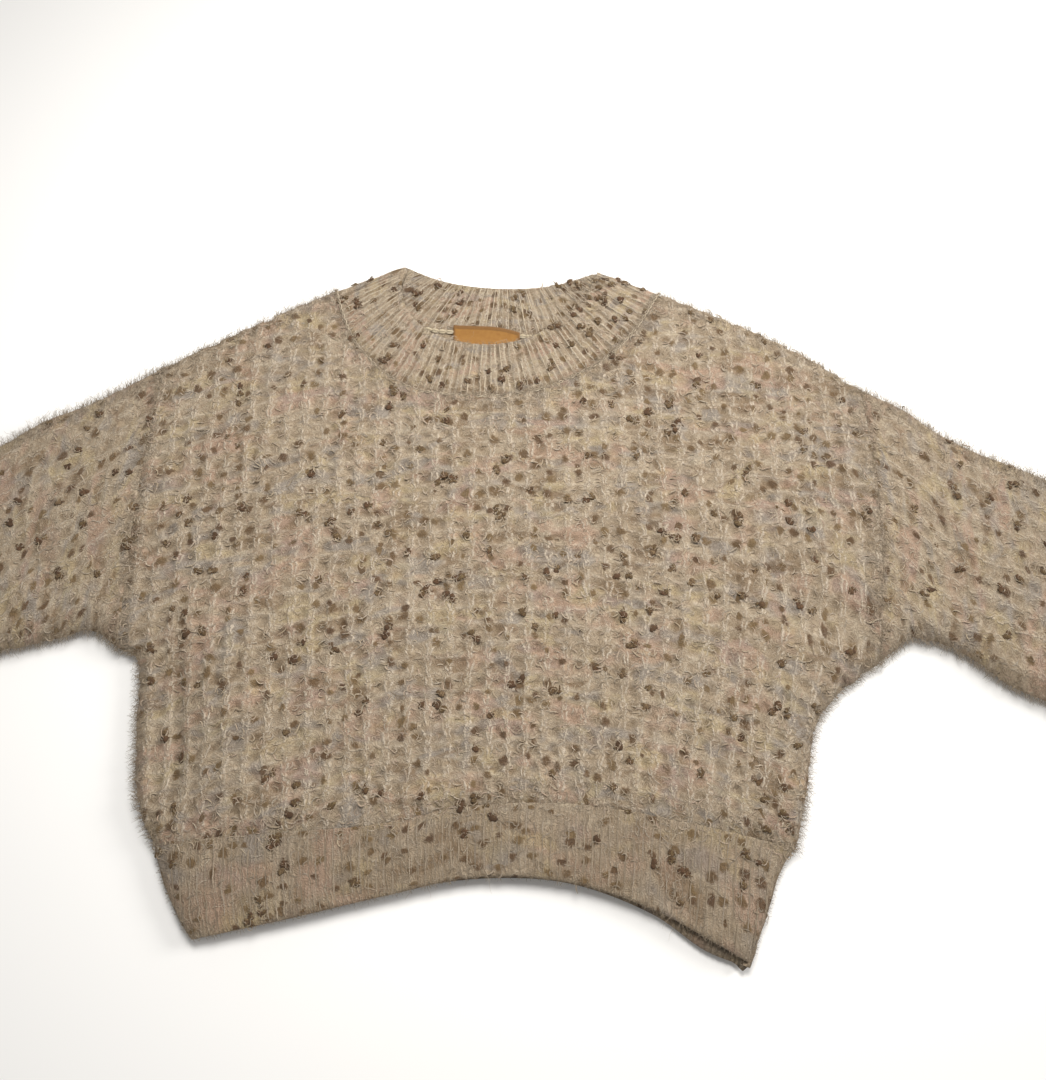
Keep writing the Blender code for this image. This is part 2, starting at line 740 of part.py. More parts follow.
def main():
    for old in list(bpy.data.objects):
        bpy.data.objects.remove(old, do_unlink=True)
    collection = bpy.data.collections.new("cropped_knit_sweater")
    bpy.context.scene.collection.children.link(collection)
    knit = finish("knit", OATMEAL, WOOL_ROUGHNESS)
    rib = finish("rib", OATMEAL_RIB, WOOL_ROUGHNESS)
    woven = finish("woven", MUSTARD, WOVEN_ROUGHNESS)
    pieces = [
        (make_front(), knit),
        (make_back(), knit),
        (make_sleeve("left", LEFT_SLEEVE), knit),
        (make_sleeve("right", RIGHT_SLEEVE), knit),
        (make_cuff("left", LEFT_CUFF), rib),
        (make_cuff("right", RIGHT_CUFF), rib),
        (make_hem_front(), rib),
        (make_hem_back(), rib),
        (make_neckband(), rib),
        (make_label(), woven),
    ]
    everything = np.vstack([piece[1] for piece, _ in pieces])
    low, high = everything.min(axis=0), everything.max(axis=0)
    origin = np.array([(low[0] + high[0]) / 2, (low[1] + high[1]) / 2, low[2]])
    for piece, material in pieces:
        add_object(piece, origin, material, collection)
    print("origin in layout millimetres:", origin.round(2), "size:", (high - low).round(1))


main()
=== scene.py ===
# %% [markdown]
# # A cropped pullover in thick brushed knit, laid flat
# The real pullover is knitted in pieces from a bulky wool yarn and linked together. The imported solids
# already give every piece its place and its largest folds. This lesson dresses them. It builds each
# knitted wall again with its stitches, which are large enough to be seen one by one, then adds the knots
# and loose strands of the yarn, and leaves the finest fibres to the materials.

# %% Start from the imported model
import math
from collections import namedtuple

import bpy
import numpy as np
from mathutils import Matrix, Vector


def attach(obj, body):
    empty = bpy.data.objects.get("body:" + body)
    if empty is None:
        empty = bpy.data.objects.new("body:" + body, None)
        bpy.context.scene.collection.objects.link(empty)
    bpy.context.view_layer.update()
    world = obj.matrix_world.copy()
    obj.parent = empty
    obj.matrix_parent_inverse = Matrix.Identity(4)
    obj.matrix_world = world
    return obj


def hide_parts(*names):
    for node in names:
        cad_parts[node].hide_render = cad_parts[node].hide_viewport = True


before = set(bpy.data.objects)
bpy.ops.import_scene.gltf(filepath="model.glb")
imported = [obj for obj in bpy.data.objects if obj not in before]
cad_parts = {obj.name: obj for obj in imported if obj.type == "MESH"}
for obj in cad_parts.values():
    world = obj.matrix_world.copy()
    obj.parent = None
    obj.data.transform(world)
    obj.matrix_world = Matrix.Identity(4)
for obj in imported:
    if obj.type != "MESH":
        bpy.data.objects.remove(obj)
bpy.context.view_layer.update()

MM = 0.001

# %% [markdown]
# ## The camera
# The camera comes first, because every later choice of detail depends on how near it is. It looks down
# on the table from above the sweater, tilted a little towards the neck. A wide lens close by is chosen
# over a long one from far off, so that the near hem looks a little larger than the far neck.

# %% Camera
AIM = (0.0205, 0.0289, 0.008)  # the point of the sweater in the middle of the view
DISTANCE = 0.737
TILT = math.radians(19)
LENS = 33.33
SENSOR = 36.0


def add_camera():
    lens = bpy.data.cameras.new("view")
    lens.lens = LENS
    lens.sensor_width = SENSOR
    lens.sensor_fit = "AUTO"
    camera = bpy.data.objects.new("view", lens)
    camera.location = (AIM[0], AIM[1] - DISTANCE * math.sin(TILT), AIM[2] + DISTANCE * math.cos(TILT))
    camera.rotation_euler = (TILT, 0, 0)
    bpy.context.scene.collection.objects.link(camera)
    bpy.context.scene.camera = camera
    return camera


camera = add_camera()
print("camera stands", round(camera.location.z, 3), "m above the table")

# %% [markdown]
# ## The sizes of the garment as it lies
# A knitter draws a schematic before casting on. These tables are that schematic, in millimetres: x to
# the right of the centre line and y from the hem's middle towards the neck. The solids were made from
# the same tables, so what is built here fits over them. A table with named columns is easier to check
# and to alter than a modelled mesh.

# %% Sizes of the cloth
ORIGIN = np.array([3.5, 211.09, 0.0])  # the schematic's point that lies over the model's origin
WALL = 5.0  # thickness of the knit
LOFT = 2.2  # air between the two layers
SPLIT = WALL + LOFT / 2  # height at which a fold turns from the lower layer into the upper one
LAYERS = 2 * WALL + LOFT
LEAST_AIR = 0.7  # air that a crease must leave
TOP_ROUND = 18.0  # how far in from a fold the upper layer is still rounded
TABLE_ROUND = 11.0  # the same for the lower layer
CROWN = 1.5  # how much higher the middle lies
CROWN_REACH = 90.0
BLOUSE_RISE = 2.4  # how much the body puffs out above the hem
BLOUSE_UP = 16.0
EDGE_SOFTEN = 1.6  # how much an open rib edge drops
COLUMN_PITCH = 14.2  # width of a column of waffle stitches
ROW_PITCH = 11.8  # height of a row of them
RIB_ROW = 6.0
HEM_RIBS = 86
CUFF_RIBS = 18
NECK_RIBS_FRONT = 36
NECK_RIBS_BACK = 28
RIB_POINTS = 8  # points across each rib
HEM_DEPTH = 62.0
BAND_DEPTH = 48.0
print("two layers of cloth are", round(LAYERS, 1), "mm high")

# %% Tables of the laid-out shape
Pair = namedtuple("Pair", "left_x left_y right_x right_y")
Section = namedtuple("Section", "upper_x upper_y lower_x lower_y")
HemPlace = namedtuple("HemPlace", "join_x join_y edge_x edge_y back_edge_y")
Point = namedtuple("Point", "x y")
Crease = namedtuple("Crease", "x1 y1 x2 y2 rise reach")

NECK_POINTS = Pair(-72, 476, 85, 471)
SHOULDERS = (
    Pair(-126, 453, 134, 450),
    Pair(-160, 436.5, 166, 435),
    Pair(-195, 418, 209, 414),
    Pair(-237, 395, 247, 392),
    Pair(-257, 383, 284, 365),
)
ARMHOLES = (
    Pair(-264, 159, 275, 148),
    Pair(-263, 262, 288, 262),
    Pair(-257, 383, 284, 365),
)
SIDES = (
    Pair(-223, 26, 205, 22),
    Pair(-233, 44, 213, 45),
    Pair(-240, 64, 219, 68),
    Pair(-243, 92, 223, 90),
    Pair(-245.5, 120, 229, 107),
    Pair(-247, 139, 241, 123),
    Pair(-251, 153, 261, 137.5),
    Pair(-264, 159, 275, 148),
)
HEM = (
    HemPlace(-223, 26, -191, -34, -34),
    HemPlace(-150, 32, -130, -21.5, -20),
    HemPlace(-75, 38, -68, -7.5, -6),
    HemPlace(-10, 50, -6, 4.5, 3.5),
    HemPlace(60, 51, 55, 1, 0.5),
    HemPlace(130, 40, 110, -16, -19),
    HemPlace(175, 30, 143, -33, -41),
    HemPlace(205, 22, 170, -48, -51),
)
HEM_SIDES = (
    Pair(-191, -34, 170, -48),
    Pair(-199, -24, 184, -18),
    Pair(-215, 4, 195, 9),
    Pair(-223, 26, 205, 22),
)
FRONT_NECK_EDGE = (
    Point(-72, 476),
    Point(-73.5, 453),
    Point(-68, 433),
    Point(-50, 413.5),
    Point(-30, 405.5),
    Point(-4, 402),
    Point(22, 406),
    Point(40, 414.5),
    Point(57, 427),
    Point(71, 441),
    Point(78, 453),
    Point(85, 471),
)
FRONT_NECK_SEAM = (
    Point(-126, 453),
    Point(-119, 428),
    Point(-109, 405),
    Point(-92, 383),
    Point(-64, 363),
    Point(-25, 356),
    Point(10, 356),
    Point(40, 362),
    Point(68, 375),
    Point(92, 391),
    Point(112, 413),
    Point(134, 450),
)
BACK_NECK_EDGE = (
    Point(-72, 476),
    Point(-40, 463),
    Point(0, 456.5),
    Point(45, 458.5),
    Point(85, 471),
)
BACK_NECK_SEAM = (
    Point(-126, 453),
    Point(-90, 435.5),
    Point(-50, 419.5),
    Point(-5, 417),
    Point(40, 413.5),
    Point(90, 428),
    Point(134, 450),
)
LEFT_SLEEVE = (
    Section(-257, 383, -264, 159),
    Section(-283, 367, -285, 172),
    Section(-311, 351, -306, 167),
    Section(-343, 337, -328, 161),
    Section(-374, 316, -347, 157),
    Section(-440, 285, -405, 131),
    Section(-525, 249, -487, 105),
    Section(-600, 215, -560, 81),
    Section(-645, 189, -604, 77),
    Section(-664, 174, -630, 74),
)
RIGHT_SLEEVE = (
    Section(284, 365, 275, 148),
    Section(296, 358, 288, 157),
    Section(316, 347, 301, 166),
    Section(343, 325, 320, 163),
    Section(367, 311, 343, 151),
    Section(394, 299, 366, 133),
    Section(418, 288, 389, 122),
    Section(501, 243, 449, 94),
    Section(582, 198, 519, 62),
    Section(638, 164, 577, 38),
    Section(661, 143, 607, 34),
    Section(676, 127, 630, 31),
)
LEFT_CUFF = (
    Section(-664, 174, -630, 74),
    Section(-695, 161, -660, 69),
    Section(-725, 146, -693, 58),
)
RIGHT_CUFF = (
    Section(676, 127, 630, 31),
    Section(703, 107, 663, 18),
    Section(732, 91, 691, 8),
)
CREASES = (
    Crease(-262, 172, -176, 250, -1.9, 13),
    Crease(-246, 148, -196, 196, 1.7, 11),
    Crease(-236, 60, -170, 118, -1.8, 15),
    Crease(-226, 104, -180, 60, 1.2, 12),
    Crease(-214, 34, -228, 172, -5, 13),
    Crease(-176, 34, -192, 200, 4.6, 30),
    Crease(270, 160, 186, 232, -1.8, 14),
    Crease(252, 142, 196, 176, 1.6, 11),
    Crease(214, 64, 168, 104, -1.4, 13),
    Crease(-60, 66, 30, 74, -0.9, 12),
    Crease(-298, 178, -352, 252, -1.7, 12),
    Crease(-318, 190, -400, 216, 1.5, 12),
    Crease(-462, 140, -500, 214, -1.6, 12),
    Crease(-484, 128, -556, 176, 1.4, 12),
    Crease(-590, 106, -622, 160, -1.3, 10),
    Crease(312, 178, 356, 246, -1.7, 12),
    Crease(334, 176, 420, 196, 1.5, 13),
    Crease(452, 118, 506, 196, -1.6, 13),
    Crease(500, 92, 574, 140, 1.4, 12),
    Crease(586, 62, 632, 118, -1.3, 10),
)
print(len(CREASES), "creases are placed by hand")

# %% [markdown]
# ## Lines and patches
# A laid-out piece of knitting is a patch between four lines. Such a patch could be a cut-up plane, but
# then its edges would run across the stitches. Here smooth lines are read through the tables, and a
# patch between them is filled with a grid of points, so that one row of points follows one row of
# stitches.

# %% Lines through the tables


def columns_of(rows, *names):
    return np.array([[getattr(row, name) for name in names] for row in rows], float)


def side_of(rows, side):
    return columns_of(rows, side + "_x", side + "_y")


def smooth(points, places):
    """Points of a smooth curve through a table's rows, where place 0 is the first row and 1 the next."""
    knots = np.concatenate([[0], np.cumsum(np.sqrt(np.linalg.norm(np.diff(points, axis=0), axis=1)))])
    steps = np.diff(knots)[:, None]
    slopes = np.diff(points, axis=0) / steps
    middle = (slopes[:-1] * steps[1:] + slopes[1:] * steps[:-1]) / (steps[:-1] + steps[1:])
    tangents = np.vstack([slopes[:1], middle, slopes[-1:]])
    places = np.asarray(places, float)
    row = np.minimum(places.astype(int), len(points) - 2)
    t = (places - row)[:, None]
    step = steps[row]
    return (
        (2 * t**3 - 3 * t**2 + 1) * points[row]
        + (t**3 - 2 * t**2 + t) * step * tangents[row]
        + (3 * t**2 - 2 * t**3) * points[row + 1]
        + (t**3 - t**2) * step * tangents[row + 1]
    )


def traced(points, per_row=10):
    return smooth(points, np.linspace(0, len(points) - 1, per_row * (len(points) - 1) + 1))


def distances(line):
    """How far along a line each of its points is."""
    return np.concatenate([[0], np.cumsum(np.linalg.norm(np.diff(line, axis=0), axis=1))])


def resampled(line, at, values):
    """The values that belong to a line's points, read at other distances along it."""
    lengths = distances(line)
    return np.stack([np.interp(at, lengths, values[:, axis]) for axis in range(values.shape[1])], axis=-1)


def cut(line, shares):
    return resampled(line, np.asarray(shares) * distances(line)[-1], line)


HEM_SEAM = traced(columns_of(HEM, "join_x", "join_y"))
print("hem seam is", round(float(distances(HEM_SEAM)[-1])), "mm long")

# %% Patches between lines


def cut_parts(lines, ends, shares):
    """Points along several lines laid end to end, each of which takes the shares up to its own end."""
    shares = np.asarray(shares, float)
    starts = (0.0, *ends[:-1])
    found = np.zeros((len(shares), 2))
    part = np.minimum(np.searchsorted(np.array(ends) + 1e-9, shares), len(ends) - 1)
    for index, line in enumerate(lines):
        mine = part == index
        found[mine] = cut(line, (shares[mine] - starts[index]) / (ends[index] - starts[index]))
    return found


def patch(low, high, west, east, across, up):
    u = np.asarray(across)[None, :, None]
    v = np.asarray(up)[:, None, None]
    corners = (1 - v) * ((1 - u) * west[0] + u * east[0]) + v * ((1 - u) * west[-1] + u * east[-1])
    return (1 - v) * low[None] + v * high[None] + (1 - u) * west[:, None] + u * east[:, None] - corners


# %% [markdown]
# ## How far a stitch lies from a fold
# Cloth that lies flat turns over at its sides, shoulders and sleeves, and is rounded there. A simulation
# would give that too, but never the same twice, and it would wander away from the solids. Instead each
# point's height follows from its distance to the nearest fold, so the folds are traced first, all the
# way round.

# %% Distance from the folds
DISTANCE_BATCH = 3000  # points measured at a time, to save memory
ON_THE_FOLD = 0.4


def folded_outline():
    lines = []
    for side, sleeve, cuff in (("left", LEFT_SLEEVE, LEFT_CUFF), ("right", RIGHT_SLEEVE, RIGHT_CUFF)):
        from_neck = (
            np.vstack([side_of((NECK_POINTS,), side), side_of(SHOULDERS[:1], side)]),
            traced(side_of(SHOULDERS, side), 6),
            traced(side_of(sleeve, "upper"), 6),
            traced(side_of(cuff, "upper"), 4),
        )
        from_hem = (
            traced(side_of(HEM_SIDES, side), 6),
            traced(side_of(SIDES, side), 6),
            traced(side_of(sleeve, "lower"), 6),
            traced(side_of(cuff, "lower"), 4),
        )
        turn = side == "left"
        lines += [line if turn else line[::-1] for line in from_neck]
        lines += [line[::-1] if turn else line for line in from_hem]
    return lines


FOLD_LINES = folded_outline()
FOLD_START = np.vstack([line[:-1] for line in FOLD_LINES])
FOLD_RUN = np.vstack([np.diff(line, axis=0) for line in FOLD_LINES])
FOLD_INWARD = np.stack([-FOLD_RUN[:, 1], FOLD_RUN[:, 0]], axis=1)
FOLD_INWARD /= np.linalg.norm(FOLD_INWARD, axis=1)[:, None]
FOLD_LENGTH_SQUARED = (FOLD_RUN**2).sum(axis=1)


def depth_of_some(some):
    away_x = some[:, 0:1] - FOLD_START[None, :, 0]
    away_y = some[:, 1:2] - FOLD_START[None, :, 1]
    share = (away_x * FOLD_RUN[:, 0] + away_y * FOLD_RUN[:, 1]) / FOLD_LENGTH_SQUARED
    np.clip(share, 0, 1, out=share)
    away_x -= share * FOLD_RUN[:, 0]
    away_y -= share * FOLD_RUN[:, 1]
    squared = away_x**2 + away_y**2
    best = squared.argmin(axis=1)
    rows = np.arange(len(some))
    offset = np.stack([away_x[rows, best], away_y[rows, best]], axis=1)
    distance = np.sqrt(squared[rows, best])
    outside = (offset * FOLD_INWARD[best]).sum(axis=1) <= 0.02
    straight_in = (outside | (distance < ON_THE_FOLD))[:, None]
    way = np.where(straight_in, FOLD_INWARD[best], offset / np.maximum(distance, 1e-6)[:, None])
    return np.where(outside, 0, distance), way


def fold_depth(plan):
    """Distance in from the nearest fold at each place, and the way that leads in from it."""
    places = plan.reshape(-1, 2)
    starts = range(0, len(places), DISTANCE_BATCH)
    found = [depth_of_some(places[start : start + DISTANCE_BATCH]) for start in starts]
    depth, inward = (np.concatenate(parts) for parts in zip(*found))
    return depth.reshape(plan.shape[:2]), inward.reshape(plan.shape)


print(len(FOLD_START), "short steps follow the folds")

# %% [markdown]
# ## Heights of the cloth
# The front lies on the back with a little air between them. It is rounded where it turns over at a fold,
# crowned towards the middle, puffed out above the ribbed hem, and creased where the sleeves pull at it.
# Each of these is one smooth formula, and their sum is the height. A crease is a soft wave along a line
# from the table.

# %% Heights


def ease(share):
    share = np.clip(share, 0, 1)
    return share * share * (3 - 2 * share)


def quarter_round(share):
    return np.sqrt(1 - (1 - np.clip(share, 0, 1)) ** 2)


def crease_rise(plan):
    total = np.zeros(plan.shape[:2])
    for crease in CREASES:
        start = np.array([crease.x1, crease.y1], float)
        run = np.array([crease.x2, crease.y2], float) - start
        share = ((plan - start) @ run) / (run @ run)
        aside = np.linalg.norm(plan - start - share[..., None] * run, axis=-1) / crease.reach
        wave = crease.rise * np.sin(math.pi * np.clip(share, 0, 1)) * np.exp(-aside * aside)
        total += np.where((share > 0) & (share < 1), wave, 0)
    return total


def body_height(plan, depth):
    above_hem = plan[..., 1] - np.interp(plan[..., 0], HEM_SEAM[:, 0], HEM_SEAM[:, 1])
    lift = np.maximum(above_hem, 0) / BLOUSE_UP
    puff = lift * np.exp(1 - lift)
    crown = CROWN * ease(depth / CROWN_REACH) * ease(above_hem / CROWN_REACH)
    height = LAYERS + crown + crease_rise(plan) + BLOUSE_RISE * puff
    return np.maximum(height, 2 * WALL + LEAST_AIR)


def sleeve_height(plan, depth):
    height = LAYERS + CROWN * ease(depth / CROWN_REACH) + crease_rise(plan)
    return np.maximum(height, 2 * WALL + LEAST_AIR)


def rib_height(plan, depth):
    return np.full(plan.shape[:2], LAYERS)


# %% Upper and lower layers


def over(plan, height, drop=0.0):
    """Outer and inner points of cloth that lies on top."""
    depth, inward = fold_depth(plan)
    share = depth / TOP_ROUND
    rise = quarter_round(share)
    top = height(plan, depth)
    outer = np.dstack([plan, SPLIT + (top - SPLIT - drop) * rise])
    inside = plan + WALL * (1 - np.minimum(share, 1))[..., None] * inward
    return outer, np.dstack([inside, SPLIT + (top - WALL - SPLIT) * rise])


def under(plan):
    """Outer and inner points of cloth that lies on the table."""
    depth, inward = fold_depth(plan)
    share = depth / TABLE_ROUND
    fall = quarter_round(share)
    outer = np.dstack([plan, SPLIT * (1 - fall)])
    inside = plan + WALL * (1 - np.minimum(share, 1))[..., None] * inward
    return outer, np.dstack([inside, SPLIT + (WALL - SPLIT) * fall])


def flattened_tube(plan, count, height, drop=0.0):
    """Outer and inner points of a tube that lies flat: its first columns on top, the others on the table."""
    top, low = over(plan[:, :count], height, drop), under(plan[:, count:])
    return [np.concatenate(pair, axis=1) for pair in zip(top, low)]


def edge_drop(from_edge):
    """How much a rib sinks over the last millimetres before its open edge."""
    return EDGE_SOFTEN * (1 - quarter_round(from_edge / 4))[:, None]


# %% [markdown]
# ## Where each stitch is
# The knit is counted in stitches: u counts the standing columns and v the rows. The same two numbers
# raise the stitches and later colour them, so form and colour agree. Rows droop towards the sides of the
# body, because the ribbed hem is arched, and columns lean in a little where the hem draws them together.
# Knitting is never quite even, so both wander a little. Without that, the fabric would look printed.

# %% Stitch coordinates
BODY_AXIS = 10  # where the rows are highest, to the right of the centre line
NOISE_ROWS, NOISE_COLUMNS = 251, 257


def cell_value(u, v, seed):
    """One random number between -1 and 1 for each whole place."""
    table = np.random.default_rng(seed).uniform(-1, 1, (NOISE_ROWS, NOISE_COLUMNS))
    return table[np.floor(u).astype(int) % NOISE_ROWS, np.floor(v).astype(int) % NOISE_COLUMNS]


def wander(u, v, seed):
    """Smooth noise between -1 and 1 that changes over about one unit."""
    iu, iv = np.floor(u), np.floor(v)
    fu, fv = ease(u - iu), ease(v - iv)
    low = cell_value(iu, iv, seed) * (1 - fu) + cell_value(iu + 1, iv, seed) * fu
    high = cell_value(iu, iv + 1, seed) * (1 - fu) + cell_value(iu + 1, iv + 1, seed) * fu
    return low * (1 - fv) + high * fv


def body_stitches(plan):
    x, y = plan[..., 0], plan[..., 1]
    aside = x - BODY_AXIS
    droop_left = 0.00062 - 0.00015 * ease(y / 350)
    droop_right = 0.00015 + 0.00095 * (1 - ease((y - 60) / 220))
    droop = np.where(aside < 0, droop_left, droop_right)
    drawn_in = np.where(x > 0, 0.15, 0.05) * (1 - ease(y / 220))
    return np.dstack([x / (COLUMN_PITCH * (1 - drawn_in)), (y + droop * aside**2) / ROW_PITCH])


def stitch_grid(u, v):
    """Stitch coordinates of a piece whose columns and rows are straight."""
    return np.dstack(np.broadcast_arrays(u[None, :], v[:, None]))


def loosened(stitches, seed, amount=0.11):
    """Stitch coordinates with the wander of hand-like knitting."""
    u, v = stitches[..., 0], stitches[..., 1]
    du = wander(u * 0.8, v * 0.8, seed) + 0.5 * wander(u * 2.1, v * 2.1, seed + 1)
    dv = wander(u * 0.7, v * 0.7, seed + 2) + 0.5 * wander(u * 1.9, v * 1.9, seed + 3)
    return np.dstack([u + amount * du, v + amount * dv])


print("a column of stitches is", COLUMN_PITCH, "mm wide and a row", ROW_PITCH, "mm high")

# %% [markdown]
# ## How high a stitch stands
# A waffle stitch has a standing column on each side, a rung between them and a rounded hollow under the
# rung. Single rib is a row of cords with furrows between them, and each cord has two strands with a dent
# between. Modelled loops would need millions of faces, so both are reliefs: a height for each point,
# that is worked out from its place within its stitch.

# %% Reliefs
COLUMN_HALF = 0.34  # shares of a stitch
HOLLOW_HALF = 0.29
HOLLOW_MIDDLE = 0.40
HOLLOW_ABOVE = 0.36
HOLLOW_BELOW = 0.34


def waffle_relief(stitches, seed):
    u, v = stitches[..., 0], stitches[..., 1]
    u = u + 0.07 * wander(u * 4.3, v * 4.3, seed + 7)
    v = v + 0.07 * wander(u * 4.3, v * 4.3, seed + 8)
    from_column = np.abs(u - np.round(u))
    up_row = v - np.floor(v)
    across = (0.5 - from_column) / HOLLOW_HALF
    above = np.maximum(up_row - HOLLOW_MIDDLE, 0) / HOLLOW_ABOVE
    below = np.maximum(HOLLOW_MIDDLE - up_row, 0) / HOLLOW_BELOW
    away = np.where(up_row > HOLLOW_MIDDLE, np.hypot(across, above), (across**4 + below**4) ** 0.25)
    hollow = 1 - ease((away - 0.45) / 0.65)
    standing = 1 - ease(from_column / COLUMN_HALF)
    uneven = np.clip(1 + 0.75 * cell_value(u, v, seed), 0.3, 1.8)
    uneven = uneven * (0.95 + 0.4 * wander(u * 0.37, v * 0.37, seed + 9))
    lean = 0.16 * np.cos(2 * math.pi * (up_row - 0.15)) * standing
    fine = 0.22 * wander(u * 6.1, v * 5.3, seed + 5)
    return 0.65 * standing + lean - 1.0 * hollow * uneven + fine


def rib_relief(stitches, seed):
    u, v = stitches[..., 0], stitches[..., 1]
    from_crest = np.abs(u - np.floor(u) - 0.5)
    cord = np.cos(2 * math.pi * np.clip(from_crest, 0, 0.5))
    dent = 0.28 * np.exp(-((from_crest / 0.07) ** 2))
    fine = 0.16 * wander(u * 5.3, v * 1.4, seed) + 0.16 * wander(u, v * 0.4, seed + 1)
    return 1.0 * np.sign(cord) * np.abs(cord) ** 0.8 - dent + fine


# %% [markdown]
# ## A knitted wall
# A knit this bulky is a real wall, and its open edges at the neck, hem and wrists show that. A plane
# with a Solidify modifier would carry every stitch to the inside too. Instead the outer face has a fine
# grid that carries the stitches, the plain inside a coarse one, and triangles lace their borders
# together into one closed skin.

# %% Meshes and normals
Surface = namedtuple("Surface", "points normals")
surfaces = {}
pieces = {}


def unit(vectors):
    return vectors / np.maximum(np.linalg.norm(vectors, axis=-1), 1e-9)[..., None]


def grid_normals(points, ring):
    if ring:
        along = np.roll(points, -1, axis=1) - np.roll(points, 1, axis=1)
    else:
        along = np.gradient(points, axis=1)
    return unit(np.cross(along, np.gradient(points, axis=0)))


def raised(points, relief, ring=False, outward=1.0):
    """Points moved out along the cloth's normals by the stitches' height."""
    normals = grid_normals(points, ring) * outward
    return points + normals * relief[..., None], normals


def mesh_object(name, points, groups):
    """A mesh from points in schematic millimetres and groups of faces with their stitch coordinates."""
    mesh = bpy.data.meshes.new(name)
    loops = np.concatenate([faces.reshape(-1) for faces, _ in groups]).astype(np.int32)
    sizes = np.concatenate([np.full(len(faces), faces.shape[1]) for faces, _ in groups])
    starts = np.concatenate([[0], np.cumsum(sizes)[:-1]]).astype(np.int32)
    places = np.concatenate([uv.reshape(-1, 2) for _, uv in groups]).astype(np.float32)
    mesh.vertices.add(len(points))
    mesh.vertices.foreach_set("co", ((points - ORIGIN) * MM).astype(np.float32).ravel())
    mesh.loops.add(len(loops))
    mesh.loops.foreach_set("vertex_index", loops)
    mesh.polygons.add(len(sizes))
    mesh.polygons.foreach_set("loop_start", starts)
    mesh.polygons.foreach_set("use_smooth", np.full(len(sizes), True))
    mesh.uv_layers.new(name="stitches").data.foreach_set("uv", places.ravel())
    mesh.update(calc_edges=True)
    mesh.validate()
    piece = bpy.data.objects.new(name, mesh)
    bpy.context.scene.collection.objects.link(piece)
    print(name, "has", int((sizes - 2).sum()), "triangles")
    return piece


# %% Closed walls


def lace(fine, coarse, fine_at, coarse_at, turned):
    """Triangles between two lines of points that start and end together but have different counts."""
    faces, i, j = [], 0, 0
    while i < len(fine) - 1 or j < len(coarse) - 1:
        step_fine = j == len(coarse) - 1 or (i < len(fine) - 1 and fine_at[i + 1] <= coarse_at[j + 1])
        if step_fine:
            face = (fine[i], fine[i + 1], coarse[j])
            i += 1
        else:
            face = (fine[i], coarse[j + 1], coarse[j])
            j += 1
        faces.append(face[::-1] if turned else face)
    return faces


def chosen(count, parts, ends=0):
    """Every so many of a line's places, with all of those near its two ends."""
    inside = np.linspace(ends, count - 1 - ends, parts + 1).round().astype(int)
    return np.unique(np.concatenate([np.arange(ends), inside, np.arange(count - ends, count)]))


def grid_faces(index, coords, turn):
    """Four-cornered faces between the points of a grid, and the stitch coordinates of their corners."""
    corners = [index[:-1, :-1], index[:-1, 1:], index[1:, 1:], index[1:, :-1]][::turn]
    places = [coords[:-1, :-1], coords[:-1, 1:], coords[1:, 1:], coords[1:, :-1]][::turn]
    return np.stack(corners, axis=-1).reshape(-1, 4), np.stack(places, axis=-2).reshape(-1, 4, 2)


def knitted_wall(name, outer, inner, kept_rows, kept_columns, uv, ring=False, uv_close=None):
    """A closed wall. inner has the full grid too, and only the kept rows and columns of it are used."""
    rows, columns = outer.shape[:2]
    inner = inner[np.ix_(kept_rows, kept_columns)]
    inner_uv = uv[np.ix_(kept_rows, kept_columns)]
    points = np.vstack([outer.reshape(-1, 3), inner.reshape(-1, 3)])
    flat_uv = np.vstack([uv.reshape(-1, 2), inner_uv.reshape(-1, 2)])
    outer_index = np.arange(rows * columns).reshape(rows, columns)
    inner_index = rows * columns + np.arange(inner.shape[0] * inner.shape[1]).reshape(inner.shape[:2])
    coarse_columns = np.array(kept_columns)
    if ring:
        uv = np.concatenate([uv, uv_close], axis=1)
        inner_uv = np.concatenate([inner_uv, uv_close[kept_rows]], axis=1)
        outer_index = np.hstack([outer_index, outer_index[:, :1]])
        inner_index = np.hstack([inner_index, inner_index[:, :1]])
        coarse_columns = np.append(coarse_columns, columns)
    fine_columns = np.arange(outer_index.shape[1])
    laced = lace(outer_index[0], inner_index[0], fine_columns, coarse_columns, True)
    laced += lace(outer_index[-1], inner_index[-1], fine_columns, coarse_columns, False)
    if not ring:
        laced += lace(outer_index[:, 0], inner_index[:, 0], np.arange(rows), kept_rows, False)
        laced += lace(outer_index[:, -1], inner_index[:, -1], np.arange(rows), kept_rows, True)
    triangles = np.array(laced)
    triangle_uv = flat_uv[triangles]
    grids = grid_faces(outer_index, uv, 1), grid_faces(inner_index, inner_uv, -1)
    quads, quad_uv = (np.vstack(parts) for parts in zip(*grids))
    corners = points[quads]
    spans = np.cross(corners[:, 2] - corners[:, 0], corners[:, 3] - corners[:, 1])
    if (corners.mean(axis=1) * spans).sum() < 0:
        quads, quad_uv = quads[:, ::-1], quad_uv[:, ::-1]
        triangles, triangle_uv = triangles[:, ::-1], triangle_uv[:, ::-1]
    return mesh_object(name, points, [(quads, quad_uv), (triangles, triangle_uv)])


# %% [markdown]
# ## Front and back
# A body panel runs from the hem's seam to the shoulders and the neck. Its lines of points stand close
# together where the cloth turns over, and about a quarter of a stitch apart elsewhere. At the armholes
# and the neck the front laps a little over its neighbours, as brushed wool hides a seam. At the hem its
# lowest rows roll down over the seam. The back lies under it all and can hardly be seen, so its grid is
# coarser and its stitches are pressed flat.

